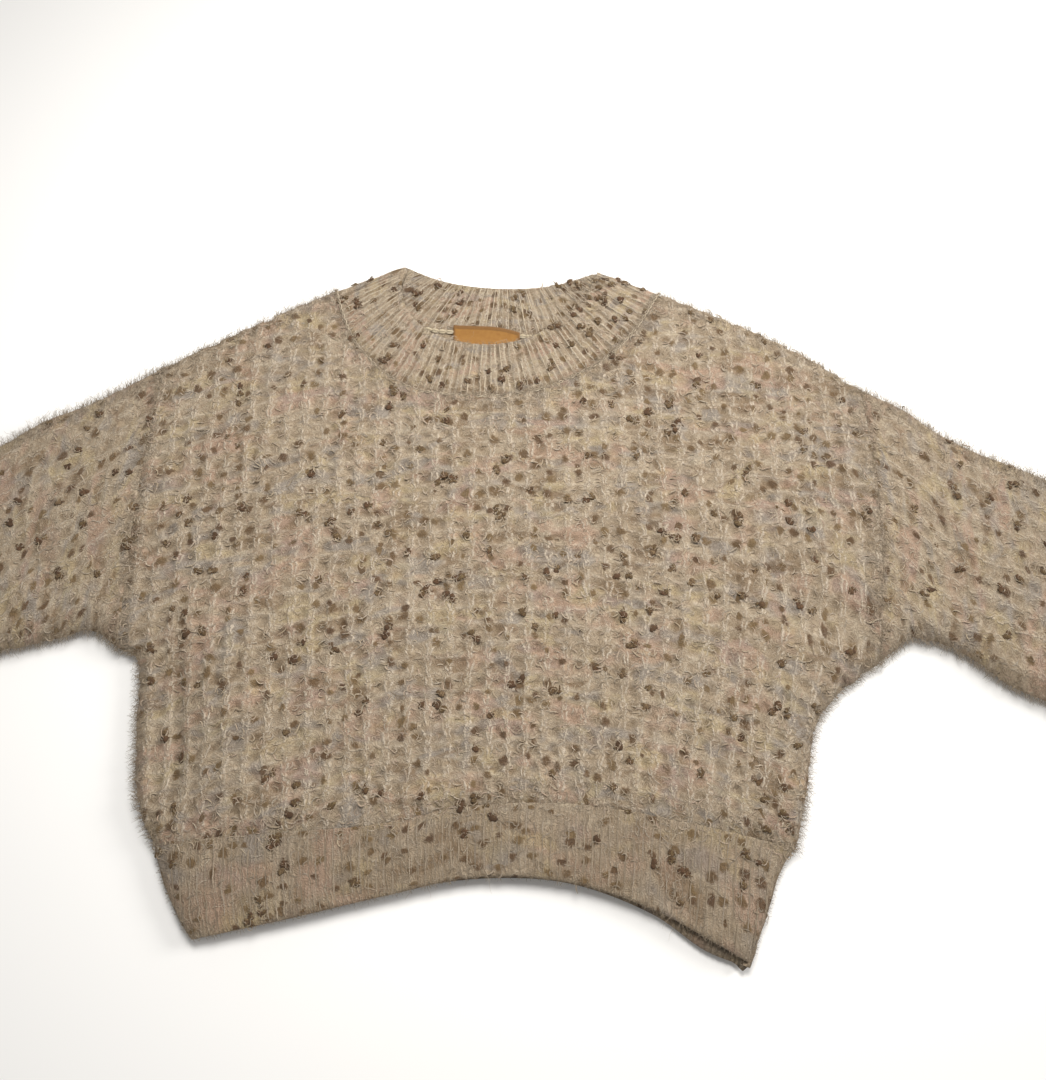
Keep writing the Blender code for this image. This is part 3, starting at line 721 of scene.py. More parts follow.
# %% Body panels
PANEL_TOP_ENDS = (0.25, 0.75, 1.0)  # shares of a panel's top: shoulder, neck, shoulder
PANEL_SIDE_ENDS = (0.4, 1.0)  # shares of its height: side, armhole
UNDERARM = 0.42  # share of the height above which the front meets a sleeve
PANEL_WIDTH = 530
FRONT_HEIGHT = 370
BACK_HEIGHT = 400
SEAM_TUCK = ((1.7, 1.1), (1.2, 0.35), (0.6, 0.0))  # how far each row reaches out and drops, from the edge in
SEAM_LAP = ((0.9, 0.5), (0.7, 0.25), (0.4, 0.1))


def fade(distance, reach):
    return ease(distance / reach)


def rounded_shares(reach, length, steps):
    """Shares that are close together at a turned-over edge."""
    angles = np.linspace(0, math.pi / 2, steps + 1)
    return reach * (1 - np.cos(angles)) / length


def shares_between_folds(reach, length, edge_steps, inside):
    edge = rounded_shares(reach, length, edge_steps)
    middle = np.linspace(edge[-1], 1 - edge[-1], inside + 1)
    return np.concatenate([edge[:-1], middle, (1 - edge)[::-1][1:]])


def shares_up_to_fold(reach, length, edge_steps, inside):
    edge = rounded_shares(reach, length, edge_steps)
    return np.concatenate([np.linspace(0, 1 - edge[-1], inside), (1 - edge)[::-1][1:]])


def panel_plan(neck_seam, across, up):
    shoulders = [traced(side_of(SHOULDERS, side)) for side in ("left", "right")]
    neck = traced(columns_of(neck_seam, "x", "y"))
    top = cut_parts((shoulders[0][::-1], neck, shoulders[1]), PANEL_TOP_ENDS, across)
    sides = []
    for side in ("left", "right"):
        lines = (traced(side_of(SIDES, side)), traced(side_of(ARMHOLES, side)))
        sides.append(cut_parts(lines, PANEL_SIDE_ENDS, up))
    return patch(cut(HEM_SEAM, across), top, sides[0], sides[1], across, up)


def lap_over_seams(outer, across, up):
    """Moves the edges of the front over the hem, the sleeves and the neckband."""
    for row, (reach, drop) in enumerate(SEAM_TUCK):
        outer[row, :, 1] -= reach
        outer[row, :, 2] -= drop
    at_armhole = fade(up - UNDERARM, 0.04) * fade(1 - up, 0.03)
    at_neck = fade(0.25 - np.abs(across - 0.5), 0.01)
    towards_band = outer[-1, :, :2] - outer[-9, :, :2]
    towards_band /= np.linalg.norm(towards_band, axis=1)[:, None]
    for line, (reach, drop) in enumerate(SEAM_LAP):
        for place, way in ((line, -1), (-1 - line, 1)):
            outer[:, place, 0] += way * reach * at_armhole
            outer[:, place, 2] -= drop * at_armhole
        outer[-1 - line, :, :2] += towards_band * (reach * at_neck)[:, None]
        outer[-1 - line, :, 2] -= drop * at_neck


def make_front():
    across = shares_between_folds(TOP_ROUND, PANEL_WIDTH, edge_steps=13, inside=344)
    up = shares_up_to_fold(TOP_ROUND, FRONT_HEIGHT, edge_steps=10, inside=218)
    plan = panel_plan(FRONT_NECK_SEAM, across, up)
    stitches = loosened(body_stitches(plan), 11)
    outer, inner = over(plan, body_height)
    from_hem = np.minimum(np.arange(len(up)), 6) / 6
    relief = waffle_relief(stitches, 21) * (0.35 + 0.65 * ease(from_hem))[:, None]
    outer, normals = raised(outer, relief)
    lap_over_seams(outer, across, up)
    surfaces["front"] = Surface(outer, normals)
    kept_rows = chosen(len(up), parts=40, ends=4)
    kept_columns = chosen(len(across), parts=50, ends=4)
    return knitted_wall("front_knit", outer, inner, kept_rows, kept_columns, stitches)


def make_back():
    across = shares_between_folds(TABLE_ROUND, PANEL_WIDTH, edge_steps=6, inside=150)
    up = shares_up_to_fold(TABLE_ROUND, BACK_HEIGHT, edge_steps=5, inside=100)
    plan = panel_plan(BACK_NECK_SEAM, across, up)
    stitches = loosened(body_stitches(plan), 12)
    outer, inner = under(plan)
    relief = np.minimum(waffle_relief(stitches, 22) - 0.75, 0) * 0.8
    outer, _ = raised(outer, relief, outward=-1.0)
    outer[..., 2] = np.maximum(outer[..., 2], 0)
    kept_rows = chosen(len(up), parts=44, ends=3)
    kept_columns = chosen(len(across), parts=60, ends=3)
    return knitted_wall("back_knit", outer, inner, kept_rows, kept_columns, stitches)


pieces["front"] = make_front()
pieces["back"] = make_back()

# %% [markdown]
# ## Sleeves and cuffs
# A sleeve is knitted as a flat piece and joined into a tube. Here it lies flat again, folded along its
# top. A bent cylinder would bulge, so the tube is made of rings between the table's upper and lower
# lines, and its first ring follows the curve of the armhole. Columns of stitches run down the arm. A
# cuff goes on in the same way in rib.

# %% Tubes
SLEEVE_WIDTH = 165
SLEEVE_STEP = 1.75
CUFF_STEP = 2.3


def tube_plan(sections, places, shares, seam=None):
    lower = smooth(side_of(sections, "lower"), places)
    upper = smooth(side_of(sections, "upper"), places)
    shares = np.array(shares)[:, None]
    rings = []
    for ring, place in enumerate(places):
        straight = lower[ring] + (upper[ring] - lower[ring]) * shares
        if seam is not None and place < 2:
            bow = cut(seam, shares[:, 0]) - (seam[0] + (seam[-1] - seam[0]) * shares)
            straight = straight + bow * (1 - place / 2)
        rings.append(straight)
    return np.array(rings)


def even_places(sections, step):
    """Places along a tube that are about one step apart, and the distance of each from the first."""
    dense = np.linspace(0, len(sections) - 1, 400)
    middle = (smooth(side_of(sections, "upper"), dense) + smooth(side_of(sections, "lower"), dense)) / 2
    lengths = distances(middle)
    along = np.linspace(0, lengths[-1], int(round(lengths[-1] / step)) + 1)
    return np.interp(along, lengths, dense), along


def tube_stitches(plan, over_shares, under_shares, along):
    """Stitch coordinates round a tube, from the lower fold over the top, and those of its closing column."""
    width = np.linalg.norm(plan[:, len(over_shares) - 1] - plan[:, 0], axis=1)[:, None]
    u = np.concatenate([over_shares - 1, 1 - under_shares])[None, :] * width / COLUMN_PITCH
    v = -np.repeat(along[:, None] / ROW_PITCH, u.shape[1], axis=1)
    return np.dstack([u, v]), np.dstack([width / COLUMN_PITCH, v[:, :1]])


def finish_tube(name, kind, walls, relief, count, kept_rows, kept_columns, stitches, close):
    """Raises a tube's stitches, keeps the surface of its upper half, and closes its wall."""
    outward = -1.0 if name.endswith("right") else 1.0  # a right tube's rings run the other way round
    outer, normals = raised(walls[0], relief, ring=True, outward=outward)
    outer[..., 2] = np.maximum(outer[..., 2], 0)
    surfaces[name] = Surface(outer[:, :count], normals[:, :count])
    kept = kept_rows, kept_columns
    return knitted_wall(name + "_" + kind, outer, walls[1], *kept, stitches, ring=True, uv_close=close)


# %% Sleeves


def make_sleeve(name, sections, seed):
    places, along = even_places(sections, SLEEVE_STEP)
    over_shares = shares_between_folds(TOP_ROUND, SLEEVE_WIDTH, edge_steps=11, inside=100)
    under_shares = shares_between_folds(TABLE_ROUND, SLEEVE_WIDTH, edge_steps=5, inside=22)[1:-1][::-1]
    seam = traced(side_of(ARMHOLES, name.removeprefix("sleeve_")))
    plan = tube_plan(sections, places, np.concatenate([over_shares, under_shares]), seam)
    count = len(over_shares)
    stitches, close = tube_stitches(plan, over_shares, under_shares, along)
    stitches = loosened(stitches, seed)
    relief = waffle_relief(stitches, seed + 10) * 0.7
    relief[:, count:] = np.minimum(relief[:, count:] - 0.5, 0)
    relief *= (0.35 + 0.65 * fade(np.minimum(along, along[-1] - along), 8))[:, None]
    kept_rows = chosen(len(along), parts=60, ends=2)
    kept_columns = np.union1d(chosen(count, parts=18, ends=3), np.arange(count, plan.shape[1], 3))
    walls = flattened_tube(plan, count, sleeve_height)
    return finish_tube(name, "knit", walls, relief, count, kept_rows, kept_columns, stitches, close)


pieces["sleeve_left"] = make_sleeve("sleeve_left", LEFT_SLEEVE, 31)
pieces["sleeve_right"] = make_sleeve("sleeve_right", RIGHT_SLEEVE, 51)

# %% Cuffs


def make_cuff(name, sections, seed):
    places, along = even_places(sections, CUFF_STEP)
    over_shares = np.linspace(0, 1, CUFF_RIBS * RIB_POINTS + 1)
    under_shares = np.linspace(1, 0, CUFF_RIBS * 4 + 1)[1:-1]
    plan = tube_plan(sections, places, np.concatenate([over_shares, under_shares]))
    count = len(over_shares)
    v = -along / RIB_ROW
    stitches = stitch_grid(np.concatenate([over_shares - 1, 1 - under_shares]) * CUFF_RIBS, v)
    close = stitch_grid(np.array([float(CUFF_RIBS)]), v)
    stitches = loosened(stitches, seed, amount=0.05)
    relief = rib_relief(stitches, seed + 3) * 0.9
    relief[:, count:] = np.minimum(relief[:, count:] - 0.6, 0)
    kept_rows = chosen(len(along), parts=10, ends=1)
    kept_columns = np.union1d(np.arange(0, count, RIB_POINTS), np.arange(count, plan.shape[1], RIB_POINTS))
    walls = flattened_tube(plan, count, rib_height, edge_drop(along[-1] - along))
    return finish_tube(name, "rib", walls, relief, count, kept_rows, kept_columns, stitches, close)


pieces["cuff_left"] = make_cuff("cuff_left", LEFT_CUFF, 71)
pieces["cuff_right"] = make_cuff("cuff_right", RIGHT_CUFF, 81)

# %% [markdown]
# ## The ribbed hem
# Single rib is stretchy and draws the body in. Each rib runs from the seam down to the open edge, and
# leans as the hem is pulled askew. An array of cords could stand for the ribs, but it wouldn't follow
# the arched edge, so they are a relief in a patch, like the stitches above.

# %% Hem
HEM_LEAN = 0.75  # how strongly the ribs lean as the hem is pulled askew
drifts = {}


def hem_plan(edge_name, across, up):
    edge = cut(traced(columns_of(HEM, "edge_x", edge_name)), across)
    left, right = (cut(traced(side_of(HEM_SIDES, side)), up) for side in ("left", "right"))
    return patch(edge, cut(HEM_SEAM, across), left, right, across, up)


def make_hem_front():
    across = np.linspace(0, 1, HEM_RIBS * RIB_POINTS + 1)
    edge = rounded_shares(reach=3, length=HEM_DEPTH, steps=3)
    up = np.concatenate([edge[:-1], np.linspace(edge[-1], 1, 36)])
    plan = hem_plan("edge_y", across, up)
    stitches = stitch_grid(across * HEM_RIBS, up * HEM_DEPTH / RIB_ROW)
    lean = HEM_LEAN * HEM_RIBS * (plan[..., 0] - plan[-1:, :, 0]) / np.ptp(plan[-1, :, 0])
    drifts["hem_front"] = -RIB_POINTS * lean
    stitches = loosened(stitches + np.dstack([lean, lean * 0]), 91, amount=0.2)
    outer, inner = over(plan, rib_height, edge_drop(up * HEM_DEPTH))
    relief = rib_relief(stitches, 92) * 0.13 * (0.4 + 0.6 * fade((1 - up) * HEM_DEPTH, 7))[:, None]
    outer, normals = raised(outer, relief)
    surfaces["hem_front"] = Surface(outer, normals)
    kept_rows = chosen(len(up), parts=8, ends=1)
    kept_columns = chosen(len(across), parts=HEM_RIBS, ends=2)
    return knitted_wall("hem_front_rib", outer, inner, kept_rows, kept_columns, stitches)


def make_hem_back():
    across = np.linspace(0, 1, HEM_RIBS * 4 + 1)
    up = np.linspace(0, 1, 17)
    plan = hem_plan("back_edge_y", across, up)
    stitches = loosened(stitch_grid(across * HEM_RIBS, up * HEM_DEPTH / RIB_ROW), 95, amount=0.06)
    outer, inner = under(plan)
    relief = np.minimum(rib_relief(stitches, 96) - 0.7, 0) * 0.8
    outer, normals = raised(outer, relief, outward=-1.0)
    outer[..., 2] = np.maximum(outer[..., 2], 0)
    inner[..., 2] += 0.5 * rib_relief(stitches, 96)
    surfaces["hem_back"] = Surface(inner, -normals)
    kept_rows = chosen(len(up), parts=12, ends=1)
    kept_columns = chosen(len(across), parts=4 * HEM_RIBS)
    return knitted_wall("hem_back_rib", outer, inner, kept_rows, kept_columns, stitches)


pieces["hem_front"] = make_hem_front()
pieces["hem_back"] = make_hem_back()

# %% [markdown]
# ## The neckband
# One loop of single rib goes round the neck. It crosses the front, turns over at the left and right, and
# runs on behind, where its right side faces up inside the neck. So the ribs are raised outside in front,
# and on the inner face behind. Two patches are joined into a ring, which is the real band's shape as it
# lies.

# %% Neckband
BAND_HALVES = (
    (NECK_RIBS_FRONT, FRONT_NECK_SEAM, FRONT_NECK_EDGE),
    (NECK_RIBS_BACK, BACK_NECK_SEAM, BACK_NECK_EDGE),
)


def neckband_plan(up):
    folds = []
    for side in ("left", "right"):
        folds.append(cut(np.vstack([side_of(SHOULDERS[:1], side), side_of((NECK_POINTS,), side)]), up))
    halves = []
    for ribs, seam, rim in BAND_HALVES:
        across = np.linspace(0, 1, RIB_POINTS * ribs + 1)
        low, high = (cut(traced(columns_of(line, "x", "y")), across) for line in (seam, rim))
        halves.append(patch(low, high, *folds, across, up))
    return np.concatenate([halves[0], halves[1][:, -2:0:-1]], axis=1), halves[0].shape[1]


def make_neckband():
    up = shares_up_to_fold(reach=3, length=BAND_DEPTH, edge_steps=3, inside=34)
    plan, count = neckband_plan(up)
    v = up * BAND_DEPTH / RIB_ROW
    stitches = loosened(stitch_grid(np.arange(plan.shape[1]) / RIB_POINTS, v), 101)
    close = stitch_grid(np.array([float(NECK_RIBS_FRONT + NECK_RIBS_BACK)]), v)
    outer, inner = flattened_tube(plan, count, rib_height, edge_drop((1 - up) * BAND_DEPTH))
    ends = (0.5 + 0.5 * fade(up * BAND_DEPTH, 6)) * (0.25 + 0.75 * fade((1 - up) * BAND_DEPTH, 6))
    relief = rib_relief(stitches, 103) * 0.62 * ends[:, None]
    inner[:, count:, 2] += 0.85 * relief[:, count:]
    relief[:, count:] = 0
    outer, normals = raised(outer, relief, ring=True)
    outer[..., 2] = np.maximum(outer[..., 2], 0)
    surfaces["neck_front"] = Surface(outer[:, :count], normals[:, :count])
    surfaces["neck_back"] = Surface(inner[:, count:][:, ::-1], -normals[:, count:][:, ::-1])
    kept_columns = np.union1d(np.arange(0, count, RIB_POINTS), np.arange(count, outer.shape[1]))
    kept = chosen(len(up), parts=18, ends=2), kept_columns
    return knitted_wall("neckband_rib", outer, inner, *kept, stitches, ring=True, uv_close=close)


pieces["neckband"] = make_neckband()

# %% [markdown]
# ## The label
# A small woven label is sewn in at the back of the neck and hangs down inside. It is bare. A flat plate
# would look like card, so it has a slight wave, a droop towards one end, a folded top edge and a thicker
# selvedge at both ends.

# %% Label
LABEL_WIDTH = 53.0
LABEL_HEIGHT = 22.0
LABEL_THICKNESS = 0.7
LABEL_MIDDLE_X = -5.0
LABEL_TOP_Y = 420.2
LABEL_SLOPE = -0.047
LABEL_DROOP = 0.0067
LABEL_COLUMNS = 54
LABEL_ROWS = 24


def make_label():
    x = np.linspace(-0.5, 0.5, LABEL_COLUMNS) * LABEL_WIDTH
    y = np.linspace(0, 1, LABEL_ROWS) * LABEL_HEIGHT
    gx, gy = np.meshgrid(x, y)
    droop = LABEL_DROOP * np.maximum(gx, 0) ** 2
    plan = np.dstack([LABEL_MIDDLE_X + gx, LABEL_TOP_Y - LABEL_HEIGHT + gy + LABEL_SLOPE * gx - droop])
    wave = 0.35 * np.sin(gx / 8.5 + 0.6) * (1 - gy / LABEL_HEIGHT) + 0.25 * np.sin(gx / 21)
    base = WALL + 0.7 + wave + 0.9 * fade(gy - 12, 7)
    hem_fold = 0.35 * np.exp(-(((gy - LABEL_HEIGHT + 2.5) / 2.0) ** 2))
    sides = 0.25 * np.exp(-(((np.abs(gx) - LABEL_WIDTH / 2 + 1.2) / 0.9) ** 2))
    outer = np.dstack([plan, base + LABEL_THICKNESS + hem_fold + sides])
    inner = np.dstack([plan, base])
    kept = chosen(LABEL_ROWS, parts=8), chosen(LABEL_COLUMNS, parts=18)
    return knitted_wall("neck_label", outer, inner, *kept, np.dstack([gx, gy]))


pieces["label"] = make_label()

# %% [markdown]
# ## Small tools for shader nodes
# A material is a network of nodes. Each finish below could be wired by hand in the editor, but written
# out it can be read as a recipe. These helpers add one node or one sum at a time, and take plain numbers
# and links alike.

# %% Node helpers


def feed(tree, socket, value):
    """Gives a socket a value, or a link where the value comes from another node."""
    if isinstance(value, bpy.types.NodeSocket):
        tree.links.new(value, socket)
    else:
        socket.default_value = value


def put(tree, kind, settings=(), **inputs):
    """Adds a node and feeds its inputs, which are given by name, or by place as n0, n1 and so on."""
    node = tree.nodes.new(kind)
    for name, value in dict(settings).items():
        setattr(node, name, value)
    for name, value in inputs.items():
        by_place = name[0] == "n" and name[1:].isdigit()
        feed(tree, node.inputs[int(name[1:]) if by_place else name.replace("_", " ")], value)
    return node


def calc(tree, operation, a, b=0.0, c=None, clamp=False):
    node = put(tree, "ShaderNodeMath", {"operation": operation, "use_clamp": clamp}, n0=a, n1=b)
    if c is not None:
        feed(tree, node.inputs[2], c)
    return node.outputs[0]


def product(tree, a, b):
    return calc(tree, "MULTIPLY", a, b)


def inverted(tree, mask):
    return calc(tree, "SUBTRACT", 1.0, mask)


def distance_from(tree, a, b):
    return calc(tree, "ABSOLUTE", calc(tree, "SUBTRACT", a, b))


def step_between(tree, value, low, high):
    """0 below low and 1 above high, with a soft step between."""
    settings = {"interpolation_type": "SMOOTHSTEP", "clamp": True}
    return put(tree, "ShaderNodeMapRange", settings, n0=value, n1=low, n2=high, n3=0.0, n4=1.0).outputs[0]


def blend_colour(tree, share, a, b):
    return put(tree, "ShaderNodeMix", {"data_type": "RGBA"}, n0=share, n6=a, n7=b).outputs[2]


def moved(tree, place, offset):
    return put(tree, "ShaderNodeVectorMath", {"operation": "ADD"}, n0=place, n1=offset).outputs[0]


def stretched(tree, place, x, y, z=1.0):
    return put(tree, "ShaderNodeVectorMath", {"operation": "MULTIPLY"}, n0=place, n1=(x, y, z)).outputs[0]


def noise(tree, place, scale, detail=2.0, roughness=0.5, distortion=0.0, sheet=0.0):
    """Smooth noise; sheet picks another one from the same family."""
    place = moved(tree, place, (sheet, sheet * 1.7, sheet * 2.3))
    node = put(tree, "ShaderNodeTexNoise", Vector=place, Scale=scale, Detail=detail)
    node.inputs["Roughness"].default_value = roughness
    node.inputs["Distortion"].default_value = distortion
    return node.outputs[0]


def stitch_places(tree):
    return put(tree, "ShaderNodeUVMap", {"uv_map": "stitches"}).outputs[0]


def linear(red, green, blue):
    """A colour as it is seen, from 0 to 255, turned into the linear values that a shader needs."""
    seen = np.array([red, green, blue]) / 255
    values = np.where(seen <= 0.04045, seen / 12.92, ((seen + 0.055) / 1.055) ** 2.4)
    return (*values.tolist(), 1.0)


def colour_row(tree, factor, stops):
    """A row of colours, each at its own share of the way from 0 to 1."""
    ramp = put(tree, "ShaderNodeValToRGB", Fac=factor)
    elements = ramp.color_ramp.elements
    for element, (position, colour) in zip(list(elements), (stops[0], stops[-1])):
        element.position, element.color = position, linear(*colour)
    for position, colour in stops[1:-1]:
        elements.new(position).color = linear(*colour)
    return ramp.outputs[0]


# %% Node groups
SHARED = []


def group(name, inputs, outputs, build):
    """A node group: build(tree, sockets) returns the sockets of its outputs by name."""
    tree = bpy.data.node_groups.new(name, "ShaderNodeTree")
    for label, kind in inputs.items():
        tree.interface.new_socket(name=label, in_out="INPUT", socket_type="NodeSocket" + kind)
    for label, kind in outputs.items():
        tree.interface.new_socket(name=label, in_out="OUTPUT", socket_type="NodeSocket" + kind)
    entry, end = tree.nodes.new("NodeGroupInput"), tree.nodes.new("NodeGroupOutput")
    made = build(tree, {label: entry.outputs[label] for label in inputs})
    for label in outputs:
        tree.links.new(made[label], end.inputs[label])
    SHARED.append(name)
    return tree


def use(tree, shared, **inputs):
    """Places a shared group in a material. Returns its output sockets."""
    return put(tree, "ShaderNodeGroup", {"node_tree": shared}, **inputs).outputs


# %% [markdown]
# ## Dyed yarn
# Tweed yarn is spun from wool of several dyes, so its colour changes over one or two stitches. A picture
# of such yarn would repeat and blur. Noise on the stitch coordinates doesn't, and it stays with the knit
# where this bends. A row of close beiges gives the base, and soft patches of grey, rose, straw and brown
# lie over it.

# %% Dyed yarn
BEIGES = ((0.32, (119, 102, 82)), (0.43, (140, 124, 103)), (0.54, (153, 137, 116)), (0.66, (165, 151, 130)))
Dye = namedtuple("Dye", "sheet size low high strength colour")
DYES = (
    Dye(21.0, 1.2, 0.50, 0.64, 0.74, (128, 121, 114)),
    Dye(37.0, 0.8, 0.51, 0.64, 0.55, (158, 127, 109)),
    Dye(53.0, 1.1, 0.53, 0.68, 0.55, (162, 145, 110)),
    Dye(71.0, 1.3, 0.55, 0.68, 0.75, (114, 94, 72)),
)


def build_dyed_yarn(tree, given):
    along = stretched(tree, given["Stitches"], 0.36, 0.55)
    broad = noise(tree, along, 1.0, 2.0, 0.55, 0.3, 3.0)
    fine = noise(tree, stretched(tree, given["Stitches"], 1.9, 2.3), 1.0, 2.0, 0.6, 0.2, 11.0)
    tone = calc(tree, "ADD", product(tree, broad, 0.45), product(tree, fine, 0.55))
    colour = colour_row(tree, tone, BEIGES)
    for dye in DYES:
        here = step_between(tree, noise(tree, along, dye.size, 2.0, 0.6, 0.4, dye.sheet), dye.low, dye.high)
        colour = blend_colour(tree, product(tree, here, dye.strength), colour, linear(*dye.colour))
    return {"Colour": colour}


dyed_yarn = group("dyed_yarn", {"Stitches": "Vector"}, {"Colour": "Color"}, build_dyed_yarn)
print("the yarn is dyed with", len(BEIGES), "beiges and", len(DYES), "patches")

# %% [markdown]
# ## Stitches drawn in colour, with painted shade and highlights
# The hollows of a waffle stitch and the furrows of a rib are given painted shade, and the columns, rungs
# and rib strands painted highlights, as the lamps would shade and light the relief. The relief alone
# would leave that to the lamps, which is too weak in soft light. So masks are drawn from the same
# stitch coordinates that raised the knit. They are shifted a little at random first, which frays their
# edges as brushing does.

# %% Frayed coordinates


def frayed(tree, stitches, amount):
    """Stitch coordinates with small random shifts."""
    place = stitches
    for scale, reach, seed in ((2.7, 0.24, 4.0), (8.0, 0.13, 8.0)):
        shifted = moved(tree, stitches, (seed, seed, seed))
        fuzzy = put(tree, "ShaderNodeTexNoise", Vector=shifted, Scale=scale, Detail=1.0).outputs["Color"]
        centred = put(tree, "ShaderNodeVectorMath", {"operation": "SUBTRACT"}, n0=fuzzy, n1=(0.5, 0.5, 0.5))
        spread = put(tree, "ShaderNodeVectorMath", {"operation": "SCALE"}, n0=centred.outputs[0])
        spread.inputs["Scale"].default_value = amount * reach
        place = moved(tree, place, spread.outputs[0])
    return place


# %% Waffle and rib


def build_waffle(tree, given):
    parts = put(tree, "ShaderNodeSeparateXYZ", Vector=given["Stitches"])
    u, v = parts.outputs[0], parts.outputs[1]
    from_column = distance_from(tree, u, calc(tree, "ROUND", u))
    up_row = calc(tree, "FRACT", v)
    across = calc(tree, "DIVIDE", calc(tree, "SUBTRACT", 0.5, from_column), HOLLOW_HALF)
    above = calc(tree, "MAXIMUM", calc(tree, "SUBTRACT", up_row, HOLLOW_MIDDLE), 0.0)
    below = calc(tree, "MAXIMUM", calc(tree, "SUBTRACT", HOLLOW_MIDDLE, up_row), 0.0)
    above, below = calc(tree, "DIVIDE", above, HOLLOW_ABOVE), calc(tree, "DIVIDE", below, HOLLOW_BELOW)
    upright = calc(tree, "ADD", above, below)
    squares = calc(tree, "ADD", product(tree, across, across), product(tree, upright, upright))
    hollow = inverted(tree, step_between(tree, calc(tree, "SQRT", squares), 0.45, 1.15))
    standing = inverted(tree, step_between(tree, from_column, 0.0, COLUMN_HALF))
    leg = calc(tree, "MULTIPLY_ADD", calc(tree, "FRACT", calc(tree, "ADD", v, 0.3)), 0.13, 0.04)
    off_leg = calc(tree, "DIVIDE", calc(tree, "SUBTRACT", from_column, leg), 0.060)
    strand = inverted(tree, step_between(tree, calc(tree, "ABSOLUTE", off_leg), 0.2, 1.5))
    rung = inverted(tree, step_between(tree, distance_from(tree, up_row, 0.88), 0.02, 0.15))
    rung = product(tree, rung, inverted(tree, standing))
    # painted shade in the hollows, painted highlights on the strands and rungs
    return {"PaintedShade": hollow, "Strand": calc(tree, "MAXIMUM", strand, product(tree, rung, 0.5))}


def build_rib(tree, given):
    parts = put(tree, "ShaderNodeSeparateXYZ", Vector=given["Stitches"])
    u, v = parts.outputs[0], parts.outputs[1]
    from_crest = distance_from(tree, calc(tree, "FRACT", u), 0.5)
    furrow = step_between(tree, from_crest, 0.28, 0.48)
    wave = calc(tree, "MULTIPLY_ADD", calc(tree, "SINE", product(tree, v, 6.283)), 0.03, 0.23)
    off_strand = calc(tree, "DIVIDE", distance_from(tree, from_crest, wave), 0.12)
    # painted shade in the furrows, painted highlights on the two strands of each cord
    return {"PaintedShade": furrow, "Strand": inverted(tree, step_between(tree, off_strand, 0.0, 1.0))}


STITCH_MASKS = {"PaintedShade": "Float", "Strand": "Float"}
waffle = group("waffle", {"Stitches": "Vector"}, STITCH_MASKS, build_waffle)
rib = group("rib", {"Stitches": "Vector"}, STITCH_MASKS, build_rib)
print("stitches are drawn by", waffle.name, "and", rib.name)

# %% [markdown]
# ## Fibres and flecks
# Brushing pulls fibres out of the yarn, and they lie in fine curls, with painted shade in the gaps between
# them. The lines where noise passes through a sine wave curl in just that way. The yarn also holds soft
# spots of brown wool. Cells of a loose grid carry one each, or none, and their outlines are made ragged by
# noise.
# Larger spots are modelled further on.

# %% Brushed fibres


def build_brushed(tree, given):
    place = given["Place"]
    curled = noise(tree, place, 190.0, 1.5, 0.6, 0.6, 5.0)
    lines = calc(tree, "ABSOLUTE", calc(tree, "SINE", product(tree, curled, 24.0)))
    loops = inverted(tree, step_between(tree, lines, 0.0, 0.42))
    # painted shade in the gaps between the curls
    gaps = step_between(tree, lines, 0.70, 1.0)
    here = step_between(tree, noise(tree, place, 130.0, 1.0, 0.5, 0.0, 13.0), 0.40, 0.60)
    gaps = product(tree, gaps, inverted(tree, product(tree, here, 0.5)))
    lint = noise(tree, place, 620.0, 2.0, 0.7, 0.5, 9.0)
    return {"Loops": product(tree, loops, here), "GapShade": gaps, "Lint": lint}


FIBRE_MASKS = {"Loops": "Float", "GapShade": "Float", "Lint": "Float"}
brushed = group("brushed_fibre", {"Place": "Vector"}, FIBRE_MASKS, build_brushed)

# %% Flecks


def build_flecks(tree, given):
    wobble = noise(tree, given["Grid"], 3.2, 2.0, 0.6, 0.0, 23.0)
    cells = put(tree, "ShaderNodeTexVoronoi", {"voronoi_dimensions": "2D"}, Vector=given["Grid"], Scale=1.0)
    chance = put(tree, "ShaderNodeSeparateColor", Color=cells.outputs["Color"])
    away = calc(tree, "MULTIPLY_ADD", wobble, 0.60, calc(tree, "SUBTRACT", cells.outputs["Distance"], 0.30))
    held = calc(tree, "GREATER_THAN", given["Share"], chance.outputs[0])
    size = calc(tree, "MULTIPLY_ADD", chance.outputs[1], 0.18, 0.19)
    core = inverted(tree, step_between(tree, calc(tree, "DIVIDE", away, size), 0.50, 1.35))
    return {"Mask": product(tree, core, held), "Shade": chance.outputs[2]}


FLECK_MASKS = {"Mask": "Float", "Shade": "Float"}
flecks = group("wool_flecks", {"Grid": "Vector", "Share": "Float"}, FLECK_MASKS, build_flecks)
print("shared effects:", ", ".join(SHARED))

# %% [markdown]
# ## The knit's finishes
# Brushed wool is rough and has a soft sheen at grazing angles, which one Principled shader can give. The
# waffle of the body and of the sleeves and the ribs differ only in how strongly the painted shade of
# their hollows and the painted highlights of their strands are drawn. So one recipe makes them all, and
# a row of a table gives each its values.

# %% Knit materials
# The pale colour is the pale curls of fibre and also the painted highlight on the strands. The dark colour is
# the painted shade in hollows, furrows and the gaps between fibres, and it also darkens the yarn of the hem
# and cuffs.
PALE_FIBRE_AND_HIGHLIGHT = linear(179, 165, 147)
DARK_YARN_AND_SHADE = linear(89, 71, 51)
FLECK_BROWNS = linear(78, 56, 39), linear(108, 88, 60)


def new_material(name):
    material = bpy.data.materials.new(name)
    material.use_nodes = True
    return material, material.node_tree, material.node_tree.nodes["Principled BSDF"]


